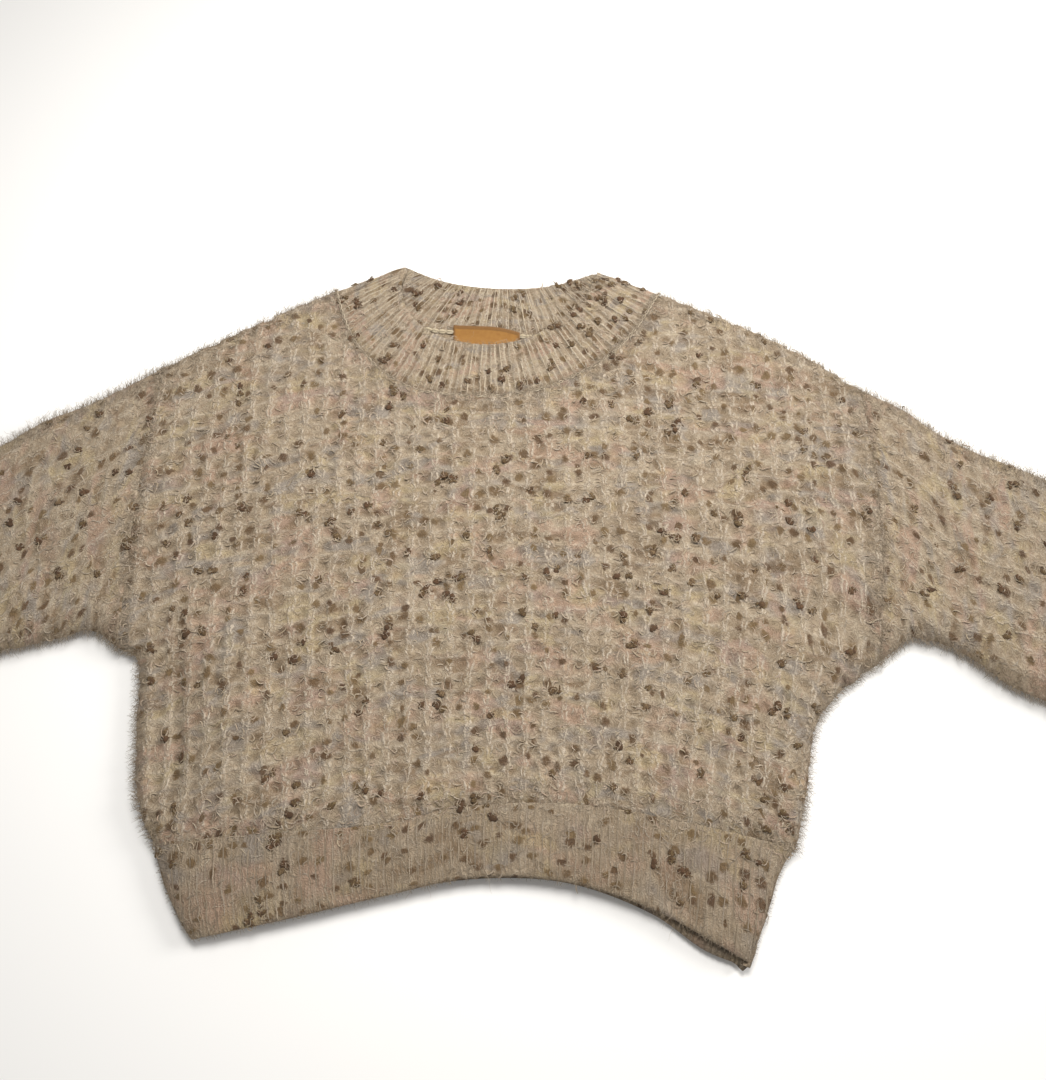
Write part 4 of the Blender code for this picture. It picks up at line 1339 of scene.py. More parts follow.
def wool_material(name):
    material, tree, shader = new_material(name)
    shader.inputs["Metallic"].default_value = 0.0
    shader.inputs["Specular IOR Level"].default_value = 0.22
    shader.inputs["Sheen Weight"].default_value = 0.2
    shader.inputs["Sheen Roughness"].default_value = 0.5
    shader.inputs["Sheen Tint"].default_value = linear(235, 222, 200)
    return material, tree, shader


def dress(tree, shader, colour, roughness, height, strength, depth):
    """Links a finish's colour, roughness and fine relief to its shader."""
    bump = put(tree, "ShaderNodeBump", Strength=strength, Distance=depth, Height=height)
    tree.links.new(colour, shader.inputs["Base Color"])
    tree.links.new(roughness, shader.inputs["Roughness"])
    tree.links.new(bump.outputs[0], shader.inputs["Normal"])


def finish_wool(tree, shader, colour, dark, light, strand, grid, share):
    """The steps that every knit ends with: flecks, painted shade in the gaps, pale curls, roughness and bump.
    """
    fibre = use(tree, brushed, Place=put(tree, "ShaderNodeTexCoord").outputs["Object"])
    fleck = use(tree, flecks, Grid=grid, Share=share)
    brown = blend_colour(tree, fleck["Shade"], *FLECK_BROWNS)
    colour = blend_colour(tree, product(tree, fleck["Mask"], 0.95), colour, brown)
    bare = calc(tree, "MULTIPLY_ADD", fleck["Mask"], -0.65 * light, light)
    # painted shade in the gaps between fibres
    colour = blend_colour(tree, product(tree, fibre["GapShade"], dark), colour, DARK_YARN_AND_SHADE)
    colour = blend_colour(tree, product(tree, fibre["Loops"], bare), colour, PALE_FIBRE_AND_HIGHLIGHT)
    height = calc(tree, "MULTIPLY_ADD", fibre["Loops"], 0.8, strand)
    height = calc(tree, "MULTIPLY_ADD", fibre["GapShade"], -0.5, height)
    height = calc(tree, "MULTIPLY_ADD", fibre["Lint"], 0.7, height)
    height = calc(tree, "MULTIPLY_ADD", fleck["Mask"], 0.6, height)
    roughness = calc(tree, "MULTIPLY_ADD", fibre["Lint"], 0.16, 0.80)
    dress(tree, shader, colour, roughness, height, 0.7, 0.0009)


def draw_stitches(tree, colour, form, uneven, broken, dark, light):
    """Paints shade into the hollows here and there, and highlights onto the strands where they aren't broken.
    """
    shade = product(tree, product(tree, form["PaintedShade"], uneven), dark)
    strand = product(tree, form["Strand"], broken)
    colour = blend_colour(tree, shade, colour, DARK_YARN_AND_SHADE)
    return blend_colour(tree, product(tree, strand, light), colour, PALE_FIBRE_AND_HIGHLIGHT), strand


def make_knit(name, dark, light, curl_light):
    material, tree, shader = wool_material(name)
    stitches = stitch_places(tree)
    yarn = use(tree, dyed_yarn, Stitches=stitches)["Colour"]
    form = use(tree, waffle, Stitches=frayed(tree, stitches, 1.0))
    uneven = noise(tree, stitches, 1.1, 1.0, 0.5, 0.0, 31.0)
    uneven = calc(tree, "MULTIPLY_ADD", uneven, 1.6, -0.3, clamp=True)
    broken = step_between(tree, noise(tree, stitches, 2.3, 2.0, 0.6, 0.0, 41.0), 0.36, 0.62)
    colour, strand = draw_stitches(tree, yarn, form, uneven, broken, dark, light)
    fleck_grid = stretched(tree, stitches, 1.35, 1.15)
    finish_wool(tree, shader, colour, 0.42, curl_light, strand, fleck_grid, 0.32)
    return material


def make_ribbing(name, dark, light, grid, flecked, deeper=0.0, dye=(0.55, 0.7)):
    material, tree, shader = wool_material(name)
    stitches = stitch_places(tree)
    yarn = use(tree, dyed_yarn, Stitches=stretched(tree, stitches, *dye))["Colour"]
    yarn = blend_colour(tree, deeper, yarn, DARK_YARN_AND_SHADE)
    form = use(tree, rib, Stitches=frayed(tree, stitches, 1.2))
    uneven = noise(tree, stretched(tree, stitches, 0.7, 0.5), 1.0, 1.0, 0.5, 0.0, 33.0)
    uneven = calc(tree, "MULTIPLY_ADD", uneven, 2.4, -0.6, clamp=True)
    broken = noise(tree, stretched(tree, stitches, 1.0, 0.6), 1.1, 2.0, 0.6, 0.0, 43.0)
    broken = step_between(tree, broken, 0.34, 0.60)
    colour, strand = draw_stitches(tree, yarn, form, uneven, broken, dark, light)
    fleck_grid = stretched(tree, stitches, grid, 0.55)
    finish_wool(tree, shader, colour, 0.36, 0.28, strand, fleck_grid, flecked)
    return material


# dark sets the painted shade in the hollows, light the painted highlights on the strands
body_knit = make_knit("brushed_waffle_knit", dark=0.34, light=0.95, curl_light=0.42)
sleeve_knit = make_knit("brushed_sleeve_knit", dark=0.28, light=0.60, curl_light=0.50)
neck_ribbing = make_ribbing("neck_rib_knit", dark=0.50, light=0.95, grid=0.85, flecked=0.46)
cuff_ribbing = make_ribbing("cuff_rib_knit", dark=0.25, light=0.60, grid=0.60, flecked=0.46, deeper=0.04)
hem_ribbing = make_ribbing("hem_rib_knit", 0.16, 0.34, grid=0.42, flecked=0.58, deeper=0.18, dye=(0.24, 0.22))
wool_finishes = (body_knit, sleeve_knit, neck_ribbing, hem_ribbing, cuff_ribbing)
print("wool finishes:", ", ".join(material.name for material in wool_finishes))

# %% [markdown]
# ## The label's finish
# The label is woven from mustard threads. Its threads are too fine to model, so two crossed waves give
# the weave, and the colour is darker in a border along the folded top edge and the selvedges.

# %% Label material


def make_woven():
    material, tree, shader = new_material("woven_label")
    shader.inputs["Specular IOR Level"].default_value = 0.4
    shader.inputs["Sheen Weight"].default_value = 0.1
    threads = stitch_places(tree)
    parts = put(tree, "ShaderNodeSeparateXYZ", Vector=threads)
    warp = calc(tree, "SINE", product(tree, parts.outputs[0], 12.0))
    weft = calc(tree, "SINE", product(tree, parts.outputs[1], 15.0))
    weave = product(tree, warp, weft)
    wear = noise(tree, threads, 0.35, 3.0, 0.6, 0.0, 2.0)
    colour = blend_colour(tree, wear, linear(138, 92, 36), linear(166, 120, 55))
    colour = blend_colour(tree, calc(tree, "MULTIPLY_ADD", weave, 0.10, 0.10), colour, linear(98, 62, 20))
    to_top = calc(tree, "SUBTRACT", LABEL_HEIGHT - 2.0, parts.outputs[1])
    to_side = calc(tree, "SUBTRACT", LABEL_WIDTH / 2, calc(tree, "ABSOLUTE", parts.outputs[0]))
    edge = calc(tree, "MINIMUM", to_top, product(tree, to_side, 0.85))
    # darker towards the top edge and the two ends
    selvedge = inverted(tree, step_between(tree, edge, 0.9, 2.1))
    colour = blend_colour(tree, product(tree, selvedge, 0.65), colour, linear(96, 62, 22))
    dress(tree, shader, colour, calc(tree, "MULTIPLY_ADD", weave, 0.05, 0.62), weave, 0.5, 0.0003)
    return material


woven = make_woven()
print("the label's finish is", woven.name)

# %% [markdown]
# ## Each wall stands for its solid
# The walls follow the solids' form, only finer. So each one replaces its solid in the picture, and lies
# still with the one body that the sweater is.

# %% Finishes for the pieces
Finish = namedtuple("Finish", "material slot")
FINISHES = {
    "front": Finish(body_knit, "knit"),
    "back": Finish(body_knit, "knit"),
    "sleeve_left": Finish(sleeve_knit, "knit"),
    "sleeve_right": Finish(sleeve_knit, "knit"),
    "cuff_left": Finish(cuff_ribbing, "rib"),
    "cuff_right": Finish(cuff_ribbing, "rib"),
    "hem_front": Finish(hem_ribbing, "rib"),
    "hem_back": Finish(hem_ribbing, "rib"),
    "neckband": Finish(neck_ribbing, "rib"),
    "label": Finish(woven, "woven"),
}
for node, piece in pieces.items():
    piece.data.materials.append(FINISHES[node].material)
    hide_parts(node)
    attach(piece, "root")
print(len(pieces), "pieces stand for the solids")

# %% [markdown]
# ## Places for loose yarn
# The real knit is covered with small knots, curls and hairs. A particle system could scatter them, but
# it would pick other places after every change of the mesh. Here spots are drawn by seeded random
# numbers, as many for each square metre of cloth, and each spot knows the way out of the cloth and the
# way along its stitches.

# %% Places on the surfaces
Spots = namedtuple("Spots", "place normal grain across")
SLEEVES = ("sleeve_left", "sleeve_right")
CUFFS = ("cuff_left", "cuff_right")
NECK = ("neck_front", "neck_back")
KNIT = ("front", *SLEEVES, *NECK, "hem_front", "hem_back", *CUFFS)


def joined(*spots):
    return Spots(*(np.vstack(parts) for parts in zip(*spots)))


def repeated(spots, times):
    return Spots(*(np.repeat(part, times, axis=0) for part in spots))


def beside(spots, across, grain):
    """Spots moved over the cloth by those distances."""
    return spots._replace(place=spots.place + spots.across * across + spots.grain * grain)


def spots_at(surface, row, column, up, along):
    """Points in the cells at those rows and columns, with the cloth's directions there."""
    p, n = surface
    up, along = up[:, None], along[:, None]
    corners = p[row, column], p[row, column + 1], p[row + 1, column], p[row + 1, column + 1]
    low = corners[0] * (1 - along) + corners[1] * along
    high = corners[2] * (1 - along) + corners[3] * along
    normal = unit(n[row, column] + n[row + 1, column + 1])
    grain = corners[2] + corners[3] - corners[0] - corners[1]
    grain = unit(grain - normal * (grain * normal).sum(axis=1)[:, None])
    return Spots(low * (1 - up) + high * up, normal, grain, np.cross(grain, normal))


def cell_areas(points):
    falling, rising = points[1:, 1:] - points[:-1, :-1], points[1:, :-1] - points[:-1, 1:]
    return np.linalg.norm(np.cross(falling, rising), axis=2) / 2


def scattered(names, per_square_metre, seed, choice=None):
    """Random spots on those surfaces, where they face up or in the cells that a choice picks out."""
    random = np.random.default_rng(seed)
    found = []
    for name in names:
        surface = surfaces[name]
        areas = cell_areas(surface.points)
        facing_up = np.maximum(surface.normals[:-1, :-1, 2], 0.15)
        wanted = areas * (facing_up if choice is None else choice(surface))
        count = int(round(wanted.sum() * 1e-6 * per_square_metre))
        cells = random.choice(areas.size, count, p=(wanted / wanted.sum()).ravel())
        row, column = np.unravel_index(cells, areas.shape)
        found.append(spots_at(surface, row, column, random.random(count), random.random(count)))
    return joined(*found)


def some_rows(first, stop):
    """A choice of the cells in some rows of a surface, counted as in a list."""

    def choice(surface):
        mask = np.zeros((len(surface.points) - 1, 1))
        mask[first:stop] = 1.0
        return mask

    return choice


def armhole_columns(surface):
    """The outermost columns of the front, from the underarm up."""
    rows, columns = (count - 1 for count in surface.points.shape[:2])
    outermost = np.minimum(np.arange(columns), columns - 1 - np.arange(columns)) < 10
    return outermost[None] * (np.arange(rows) > UNDERARM * rows)[:, None] * 1.0


def neck_seam_cells(surface):
    """The top of the front between the shoulders, next to the neckband."""
    rows, columns = (count - 1 for count in surface.points.shape[:2])
    middle = np.abs(np.arange(columns) / columns - 0.5) < 0.25
    return middle[None] * (np.arange(rows) > rows - 9)[:, None] * 1.0


print("loose yarn can lie on", len(KNIT), "surfaces")

# %% [markdown]
# ## Strands of yarn
# A loose strand could be a curve with a round section, but tens of thousands of tubes are too heavy. A
# flat ribbon that faces out of the cloth looks the same from a little way off. All strands of one kind
# are one mesh, and the first stitch coordinate of each strand is a random number that picks its shade
# from a row of dyes.

# %% Ribbons of yarn


def ribbons(name, paths, facing, widths, shades, material):
    """One mesh of flat strands. paths is strands by points by xyz, and facing is where each strand faces."""
    ahead = unit(np.gradient(paths, axis=1))
    aside = unit(np.cross(ahead, facing[:, None, :]))
    edges = np.stack([paths - aside * widths[..., None] / 2, paths + aside * widths[..., None] / 2], axis=2)
    count, length = paths.shape[:2]
    index = np.arange(count * length * 2).reshape(count, length, 2)
    quads = [index[:, :-1, 0], index[:, :-1, 1], index[:, 1:, 1], index[:, 1:, 0]]
    quads = np.stack(quads, axis=-1).reshape(-1, 4)
    along = np.broadcast_to(np.linspace(0, 1, length)[None, :, None], (count, length, 2))
    shade = np.broadcast_to(shades[:, None, None], (count, length, 2))
    uv = np.stack([shade, along], axis=-1).reshape(-1, 2)
    return loose(mesh_object(name, edges.reshape(-1, 3), [(quads, uv[quads])]), material)


def loose(piece, material):
    """Loose yarn stands for no solid. It only lies still with the sweater."""
    piece.data.materials.append(material)
    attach(piece, "root")
    return piece


def strand_material(name, colours):
    material, tree, shader = wool_material(name)
    shade = put(tree, "ShaderNodeSeparateXYZ", Vector=stitch_places(tree)).outputs[0]
    stops = [(place / (len(colours) - 1), colour) for place, colour in enumerate(colours)]
    colour = colour_row(tree, shade, stops)
    lint = noise(tree, put(tree, "ShaderNodeTexCoord").outputs["Object"], 1400.0, 2.0, 0.6, 0.0, 17.0)
    colour = blend_colour(tree, step_between(tree, lint, 0.62, 0.40), colour, linear(*colours[0]))
    dress(tree, shader, colour, calc(tree, "MULTIPLY_ADD", lint, 0.14, 0.80), lint, 0.6, 0.0005)
    return material


NEP_DYES = ((68, 50, 35), (92, 66, 46), (98, 82, 54), (120, 100, 74))
STRANDS = {
    "dark_neps": NEP_DYES,
    "brown_fuzz": NEP_DYES,
    "curled_strands": (
        (138, 123, 103), (159, 142, 121), (175, 161, 144), (164, 140, 123), (149, 141, 129), (168, 151, 125)
    ),
    "hem_strands_wool": ((124, 110, 92), (138, 124, 106), (149, 135, 118), (133, 122, 110)),
    "combed_strands": ((150, 136, 116), (172, 158, 137), (182, 168, 147), (160, 148, 132)),
    "stray_hairs": ((149, 133, 114), (186, 174, 153), (204, 195, 178), (131, 114, 94)),
    # the hairs at the folds and open edges are dyed darker than the stray hairs, which paints the shade of
    # the rounded edges onto them
    "rim_hairs_painted_shade": ((112, 98, 82), (140, 126, 107), (160, 147, 127), (126, 112, 95)),
    "pale_cord": ((170, 155, 130), (188, 175, 150), (196, 184, 160)),
}
wool = {name: strand_material(name, dyes) for name, dyes in STRANDS.items()}
print(len(wool), "kinds of loose wool")

# %% [markdown]
# ## Neps
# Neps are small knots of brown wool that are spun into the yarn and felt together. A single ball would
# look like a bead. So each nep is three flattened balls with uneven points, which lie partly in each
# other. Some neps come in pairs, more of them sit in the neckband, and a few are listed one by one where
# the band turns over on the right.

# %% Neps
BALL_AROUND = 7
BALL_RINGS = ((-0.55, 0.75), (0.05, 1.0), (0.62, 0.72))  # height and radius
NEP_SIZE = 4.4


def ball_points():
    angles = np.arange(BALL_AROUND) / BALL_AROUND * 2 * math.pi
    ball = [(0.0, 0.0, -0.9)]
    for height, radius in BALL_RINGS:
        ball += [(radius * math.cos(angle), radius * math.sin(angle), height) for angle in angles]
    return np.array(ball + [(0.0, 0.0, 0.95)])


def ball_faces():
    last = 1 + 3 * BALL_AROUND
    triangles, quads = [], []
    for i in range(BALL_AROUND):
        j = (i + 1) % BALL_AROUND
        triangles += [(0, 1 + j, 1 + i), (last, last - BALL_AROUND + i, last - BALL_AROUND + j)]
        for low in (1, 1 + BALL_AROUND):
            quads.append((low + i, low + j, low + BALL_AROUND + j, low + BALL_AROUND + i))
    return np.array(quads), np.array(triangles)


def neps(name, spots, size, material, seed):
    random = np.random.default_rng(seed)
    spots = repeated(spots, 3)
    off = random.normal(0, size * 0.23, (len(spots.place), 2))
    spots = beside(spots, off[:, :1], off[:, 1:])
    count, ball = len(spots.place), ball_points()
    ball = ball[None] * random.uniform(0.72, 1.25, (count, len(ball)))[..., None]
    length = random.uniform(0.75, 1.35, count) * size
    width = length * random.uniform(0.55, 0.9, count)
    height = width * random.uniform(0.14, 0.21, count)
    turn = random.normal(0.6, 0.8, count)
    ahead = spots.across * np.cos(turn)[:, None] + spots.grain * np.sin(turn)[:, None]
    aside = np.cross(spots.normal, ahead)
    points = (
        (spots.place + spots.normal * 0.35)[:, None]
        + ball[..., :1] * (ahead * length[:, None] / 2)[:, None]
        + ball[..., 1:2] * (aside * width[:, None] / 2)[:, None]
        + ball[..., 2:] * (spots.normal * height[:, None])[:, None]
    )
    shade = np.repeat(random.random(count // 3), 3) + random.normal(0, 0.12, count)
    first = np.arange(count)[:, None, None] * ball.shape[1]
    groups = []
    for faces in ball_faces():
        corners = (first + faces[None]).reshape(-1, faces.shape[1])
        shades = np.repeat(np.clip(shade, 0, 1), len(faces))
        groups.append((corners, np.broadcast_to(shades[:, None, None], (*corners.shape, 2))))
    return loose(mesh_object(name, points.reshape(-1, 3), groups), material)


# %% Where the neps are
NEPS_BY_HAND = (  # rows down from the band's edge, and shares of the way round it
    (4, 0.80), (5, 0.83), (7, 0.86), (4, 0.88), (9, 0.90), (6, 0.93), (3, 0.95), (8, 0.97), (5, 0.74),
    (13, 0.79), (17, 0.84), (14, 0.89), (21, 0.93), (12, 0.965), (19, 0.985), (24, 0.87), (15, 0.70),
)


def nep_spots():
    single = scattered(KNIT, per_square_metre=940, seed=201)
    near = np.random.default_rng(202).normal(0, 3.0, (len(single.place), 2))
    paired = Spots(*(part[::5] for part in beside(single, near[:, :1], near[:, 1:])))
    at_the_neck = scattered(NECK, per_square_metre=2000, seed=204, choice=some_rows(4, 31))
    band = surfaces["neck_front"]
    rows_down, shares = np.array(NEPS_BY_HAND).T
    row = len(band.points) - rows_down.astype(int)
    column_at = (band.points.shape[1] * shares).astype(int)
    return joined(single, paired, at_the_neck, spots_at(band, row, column_at, row * 0.0, row * 0.0))


dark_neps = nep_spots()
neps("dark_neps", dark_neps, NEP_SIZE, wool["dark_neps"], seed=203)

# %% [markdown]
# ## Curls
# Brushing lifts strands off the yarn, and they settle in hooks and loops. Each is a ribbon whose heading
# turns as it goes, and which rises a little in the middle. They lie thickest over the seams, where they
# hide the joints, and brown ones cover the neps.

# %% Curls


def curl_paths(spots, length, bend, lift, seed, steps=8):
    """Strands that wander over the cloth in hooks and loops, and rise off it in the middle."""
    random = np.random.default_rng(seed)
    count = len(spots.place)
    reach = length * random.uniform(0.6, 1.4, count)
    hand = random.choice((-1.0, 1.0), count)
    share = np.linspace(0, 1, steps)
    turning = hand[:, None] * bend * random.uniform(0.3, 1.5, count)[:, None]
    turning = turning * (1 + random.uniform(-1.6, 1.6, count)[:, None] * np.sin(2 * math.pi * share)[None])
    heading = random.uniform(0, 2 * math.pi, count)[:, None] + np.cumsum(turning, axis=1) / steps
    step = (reach / (steps - 1))[:, None]
    x = np.cumsum(np.cos(heading) * step, axis=1)
    y = np.cumsum(np.sin(heading) * step, axis=1)
    rise = (lift * random.uniform(0.4, 1.6, count))[:, None] * np.sin(math.pi * share)[None] + 0.15
    paths = (
        spots.place[:, None]
        + spots.across[:, None] * x[..., None]
        + spots.grain[:, None] * y[..., None]
        + spots.normal[:, None] * rise[..., None]
    )
    tilt = random.normal(0, 0.45, (count, 2))
    facing = unit(spots.normal + spots.across * tilt[:, :1] + spots.grain * tilt[:, 1:])
    return paths, facing


def curls(name, spots, seed, material, length, width):
    random = np.random.default_rng(seed)
    paths, facing = curl_paths(spots, length, bend=2.6, lift=0.35, seed=seed + 1)
    taper = np.sin(math.pi * (0.12 + 0.76 * np.linspace(0, 1, paths.shape[1])))
    widths = width * random.uniform(0.7, 1.3, len(paths))[:, None] * taper[None]
    return ribbons(name, paths, facing, widths, random.random(len(paths)), material)


Patch = namedtuple("Patch", "names per_square_metre seed choice", defaults=(None,))
Curls = namedtuple("Curls", "name patches seed wool length width")
CURLS = (
    Curls("body_curls", [Patch(("front",), 28000, 211)], 212, "curled_strands", 6.2, 0.78),
    Curls("hem_curls", [Patch(("hem_front",), 11000, 213)], 214, "hem_strands_wool", 6.5, 0.8),
    Curls(
        "seam_curls",
        [
            Patch(("front",), 50000, 216, some_rows(0, 9)),
            Patch(("hem_front",), 50000, 217, some_rows(-6, None)),
        ],
        218, "curled_strands", 6.5, 0.7,
    ),
    Curls(
        "armhole_curls",
        [Patch(SLEEVES, 22000, 219, some_rows(0, 9)), Patch(("front",), 22000, 220, armhole_columns)],
        222, "curled_strands", 6.5, 0.75,
    ),
    Curls("sleeve_curls", [Patch(SLEEVES + CUFFS, 20000, 221)], 222, "curled_strands", 6.2, 0.78),
    Curls("neck_curls", [Patch(NECK, 17000, 231)], 232, "curled_strands", 6.2, 0.7),
)


def add_curls(kind):
    spots = joined(*(scattered(*area) for area in kind.patches))
    return curls(kind.name, spots, kind.seed, wool[kind.wool], kind.length, kind.width)


for kind in CURLS:
    add_curls(kind)

# %% Fuzz over the neps
FUZZ_STEPS = 4
FUZZ_TAPER = (0.6, 1.0, 0.95, 0.5)


def add_fuzz():
    """Short brown curls that make a nep's outline woolly."""
    spots = repeated(dark_neps, 7)
    paths, facing = curl_paths(spots, length=2.4, bend=2.6, lift=0.3, seed=244, steps=FUZZ_STEPS)
    off = np.random.default_rng(245).normal(0, 1.0, (len(paths), 1, 3)) * (1, 1, 0)
    paths = paths + facing[:, None] * 0.3 + np.repeat(off, FUZZ_STEPS, axis=1)
    widths = np.random.default_rng(246).uniform(0.5, 0.9, (len(paths), 1)) * FUZZ_TAPER
    shades = np.random.default_rng(247).random(len(paths))
    return ribbons("nep_fuzz", paths, facing, widths, shades, wool["brown_fuzz"])


def add_veil():
    """Pale strands of the yarn that run over the neps."""
    paths, facing = curl_paths(repeated(dark_neps, 2), length=6.0, bend=3.0, lift=0.5, seed=241)
    paths = paths + facing[:, None] * 0.9
    widths = np.random.default_rng(242).uniform(0.25, 0.45, (len(paths), 1)) * np.ones(paths.shape[1])
    shades = np.random.default_rng(243).random(len(paths))
    return ribbons("nep_veil", paths, facing, widths, shades, wool["curled_strands"])


add_fuzz()
add_veil()

# %% [markdown]
# ## Combed strands
# Along a rib the brushed strands lie straight, as if combed. They could be drawn in the material alone,
# but their small shadows are what makes the ribs look like yarn. Each strand follows one column of the
# surface, with a sway of its own, and stops before the next begins.

# %% Combed strands


def combed(name, surface, places, material, shortest, longest, latest, seed, width, rise=0.35, drift=None):
    """Strands that follow the ribs: each runs along one column of the surface, with breaks between them."""
    random = np.random.default_rng(seed)
    rows, columns = surface.points.shape[:2]
    drift = np.zeros((rows, columns)) if drift is None else drift
    spans = np.linspace(0, 1, 12)
    arch = rise * np.sin(math.pi * np.clip(spans, 0.04, 0.96)) ** 0.5
    paths, facing = [], []
    for column in places:
        start = int(random.integers(0, latest))
        while start < rows - 5:
            stop = min(start + int(random.integers(shortest, longest)), rows - 1)
            at = start + (stop - start) * spans
            row = np.minimum(at.astype(int), rows - 2)
            share = (at - row)[:, None]
            shift, swing = random.normal(0, 0.30), random.normal(0, 0.38)
            sway = shift + swing * np.sin(math.pi * spans * random.uniform(0.7, 2.6))
            across = np.clip(column + drift[row, column], 0, columns - 2)
            west = across.astype(int)
            part = (across - west)[:, None]
            low = surface.points[row, west] * (1 - part) + surface.points[row, west + 1] * part
            high = surface.points[row + 1, west] * (1 - part) + surface.points[row + 1, west + 1] * part
            normal = surface.normals[row[6], west[6]]
            aside = unit(surface.points[row[6], west[6] + 1] - surface.points[row[6], west[6]])
            points = low * (1 - share) + high * share
            paths.append(points + aside * sway[:, None] + normal * arch[:, None])
            facing.append(unit(normal + aside * random.normal(0, 0.3)))
            start = stop + int(random.integers(-2, longest // 3))
    paths, facing = np.array(paths), np.array(facing)
    taper = np.sin(math.pi * np.clip(spans, 0.1, 0.9)) ** 0.4
    widths = width * random.uniform(0.7, 1.25, (len(paths), 1)) * taper[None]
    return ribbons(name, paths, facing, widths, random.random(len(paths)), material)


for name in NECK:
    crests = np.arange(RIB_POINTS // 2, surfaces[name].points.shape[1] - 2, RIB_POINTS)
    places = np.concatenate([crests - 2, crests + 2])
    form = {"shortest": 9, "longest": 30, "latest": 3, "width": 0.72}
    combed(name + "_strands", surfaces[name], places, wool["combed_strands"], seed=261, **form)
hem = surfaces["hem_front"]
places = np.arange(4, hem.points.shape[1] - 3, 9)
form = {"shortest": 6, "longest": 18, "latest": 9, "width": 1.0, "rise": 0.3}
combed("hem_strands", hem, places, wool["hem_strands_wool"], seed=263, drift=drifts["hem_front"], **form)

# %% [markdown]
# ## Hairs
# Against the light, wool shows a halo of fine hairs at its outline. Hair systems would do it, but the
# export keeps meshes only, so these are ribbons again, much finer. Most start near a fold or an open
# edge and reach out over it. A few lie over the whole surface.

# %% Hairs


def rim_spots(rim, reach, seed):
    """Spots near the named sides of a surface, with grain pointing out over that side."""
    random = np.random.default_rng(seed)
    surface = surfaces[rim.surface]
    p = surface.points
    rows, columns = p.shape[:2]
    lines = {
        "first": (p[:, 0], p[:, 5]),
        "last": (p[:, -1], p[:, -6]),
        "low": (p[0], p[5]),
        "high": (p[-1], p[-6]),
    }
    found = []
    for side in rim.sides:
        line, back = lines[side]
        lengths = np.linalg.norm(np.diff(line, axis=0), axis=1)
        count = int(lengths.sum() * rim.per_millimetre)
        at = random.choice(len(lengths), count, p=lengths / lengths.sum())
        depth = (reach * random.random(count) ** 1.5).astype(int)
        row, column = {
            "first": (at, depth),
            "last": (at, columns - 2 - depth),
            "low": (depth, at),
            "high": (rows - 2 - depth, at),
        }[side]
        spots = spots_at(surface, row, column, random.random(count), random.random(count))
        out = line - back
        out[:, 2] = 0
        found.append(spots._replace(grain=unit(out)[at]))
    return joined(*found)


def hairs(name, spots, material, length, lean, seed, width, steps):
    """Fine stray hairs that start along the spots' grain and bend away at random."""
    random = np.random.default_rng(seed)
    count = len(spots.place)
    up = np.array((0.0, 0.0, 1.0))
    reach = length * random.uniform(0.35, 1.5, count)
    spread = random.normal(0, lean, count)
    aside = np.cross(spots.normal, spots.grain)
    ahead = spots.grain * np.cos(spread)[:, None] + aside * np.sin(spread)[:, None]
    share = np.linspace(0, 1, steps)
    bow = random.normal(0, 0.34, (count, 2)) * reach[:, None]
    flat = np.cross(up, ahead)
    rise = random.uniform(-0.1, 0.35, count) * reach
    paths = (
        spots.place[:, None]
        + ahead[:, None] * (reach[:, None] * share)[..., None]
        + flat[:, None] * (bow[:, :1] * share**2 + bow[:, 1:] * np.sin(2 * math.pi * share) * 0.4)[..., None]
    )
    paths[..., 2] += rise[:, None] * np.sin(math.pi * share * 0.8)
    paths[..., 2] = np.maximum(paths[..., 2], 0.3)
    widths = width * (1 - 0.6 * share)[None] * random.uniform(0.6, 1.3, count)[:, None]
    facing = unit(up + random.normal(0, 0.3, (count, 3)))
    return ribbons(name, paths, facing, widths, random.random(count), material)


Rim = namedtuple("Rim", "surface sides per_millimetre length")
RIMS = (
    Rim("front", ("first", "last", "high"), 6.0, 5.2),
    Rim("sleeve_left", ("first", "last"), 7.5, 6.0),
    Rim("sleeve_right", ("first", "last"), 7.5, 6.0),
    Rim("hem_front", ("first", "last", "low"), 3.0, 2.6),
    Rim("neck_front", ("high",), 4.0, 2.4),
    Rim("neck_back", ("low", "high"), 2.0, 2.6),
)
RIM_REACH = 10  # points in from an edge
# the rim hairs are real, and their darker dye is painted shade for the rounded folds and edges
for i, rim in enumerate(RIMS):
    spots = rim_spots(rim, RIM_REACH, 240 + i)
    form = {"length": rim.length, "lean": 0.8, "width": 0.25, "steps": 4}
    hairs(rim.surface + "_rim_hairs_painted_shade", spots, wool["rim_hairs_painted_shade"], seed=251 + i, **form)
over_all = scattered(KNIT, per_square_metre=12000, seed=262)
turned = np.random.default_rng(263).uniform(0, 2 * math.pi, len(over_all.place))[:, None]
over_all = over_all._replace(grain=over_all.grain * np.sin(turned) + over_all.across * np.cos(turned))
form = {"length": 9.0, "lean": 0.3, "width": 0.2, "steps": 5}
hairs("surface_hairs", over_all, wool["stray_hairs"], seed=264, **form)

# %% [markdown]
# ## Linked seams
# The neckband is joined by a chain of linked loops, which is a pale cord inside the back of the neck, on
# each side of the label. A row of tori could stand for it, but a link is open at its ends and passes
# into the next. So each is two short strands that part and meet again. Small pale curls hide most of the
# chain in front. The armholes are linked from the inside, and there the front just laps over the end of
# the sleeve.

# %% Chains
LINK_POINTS = 7


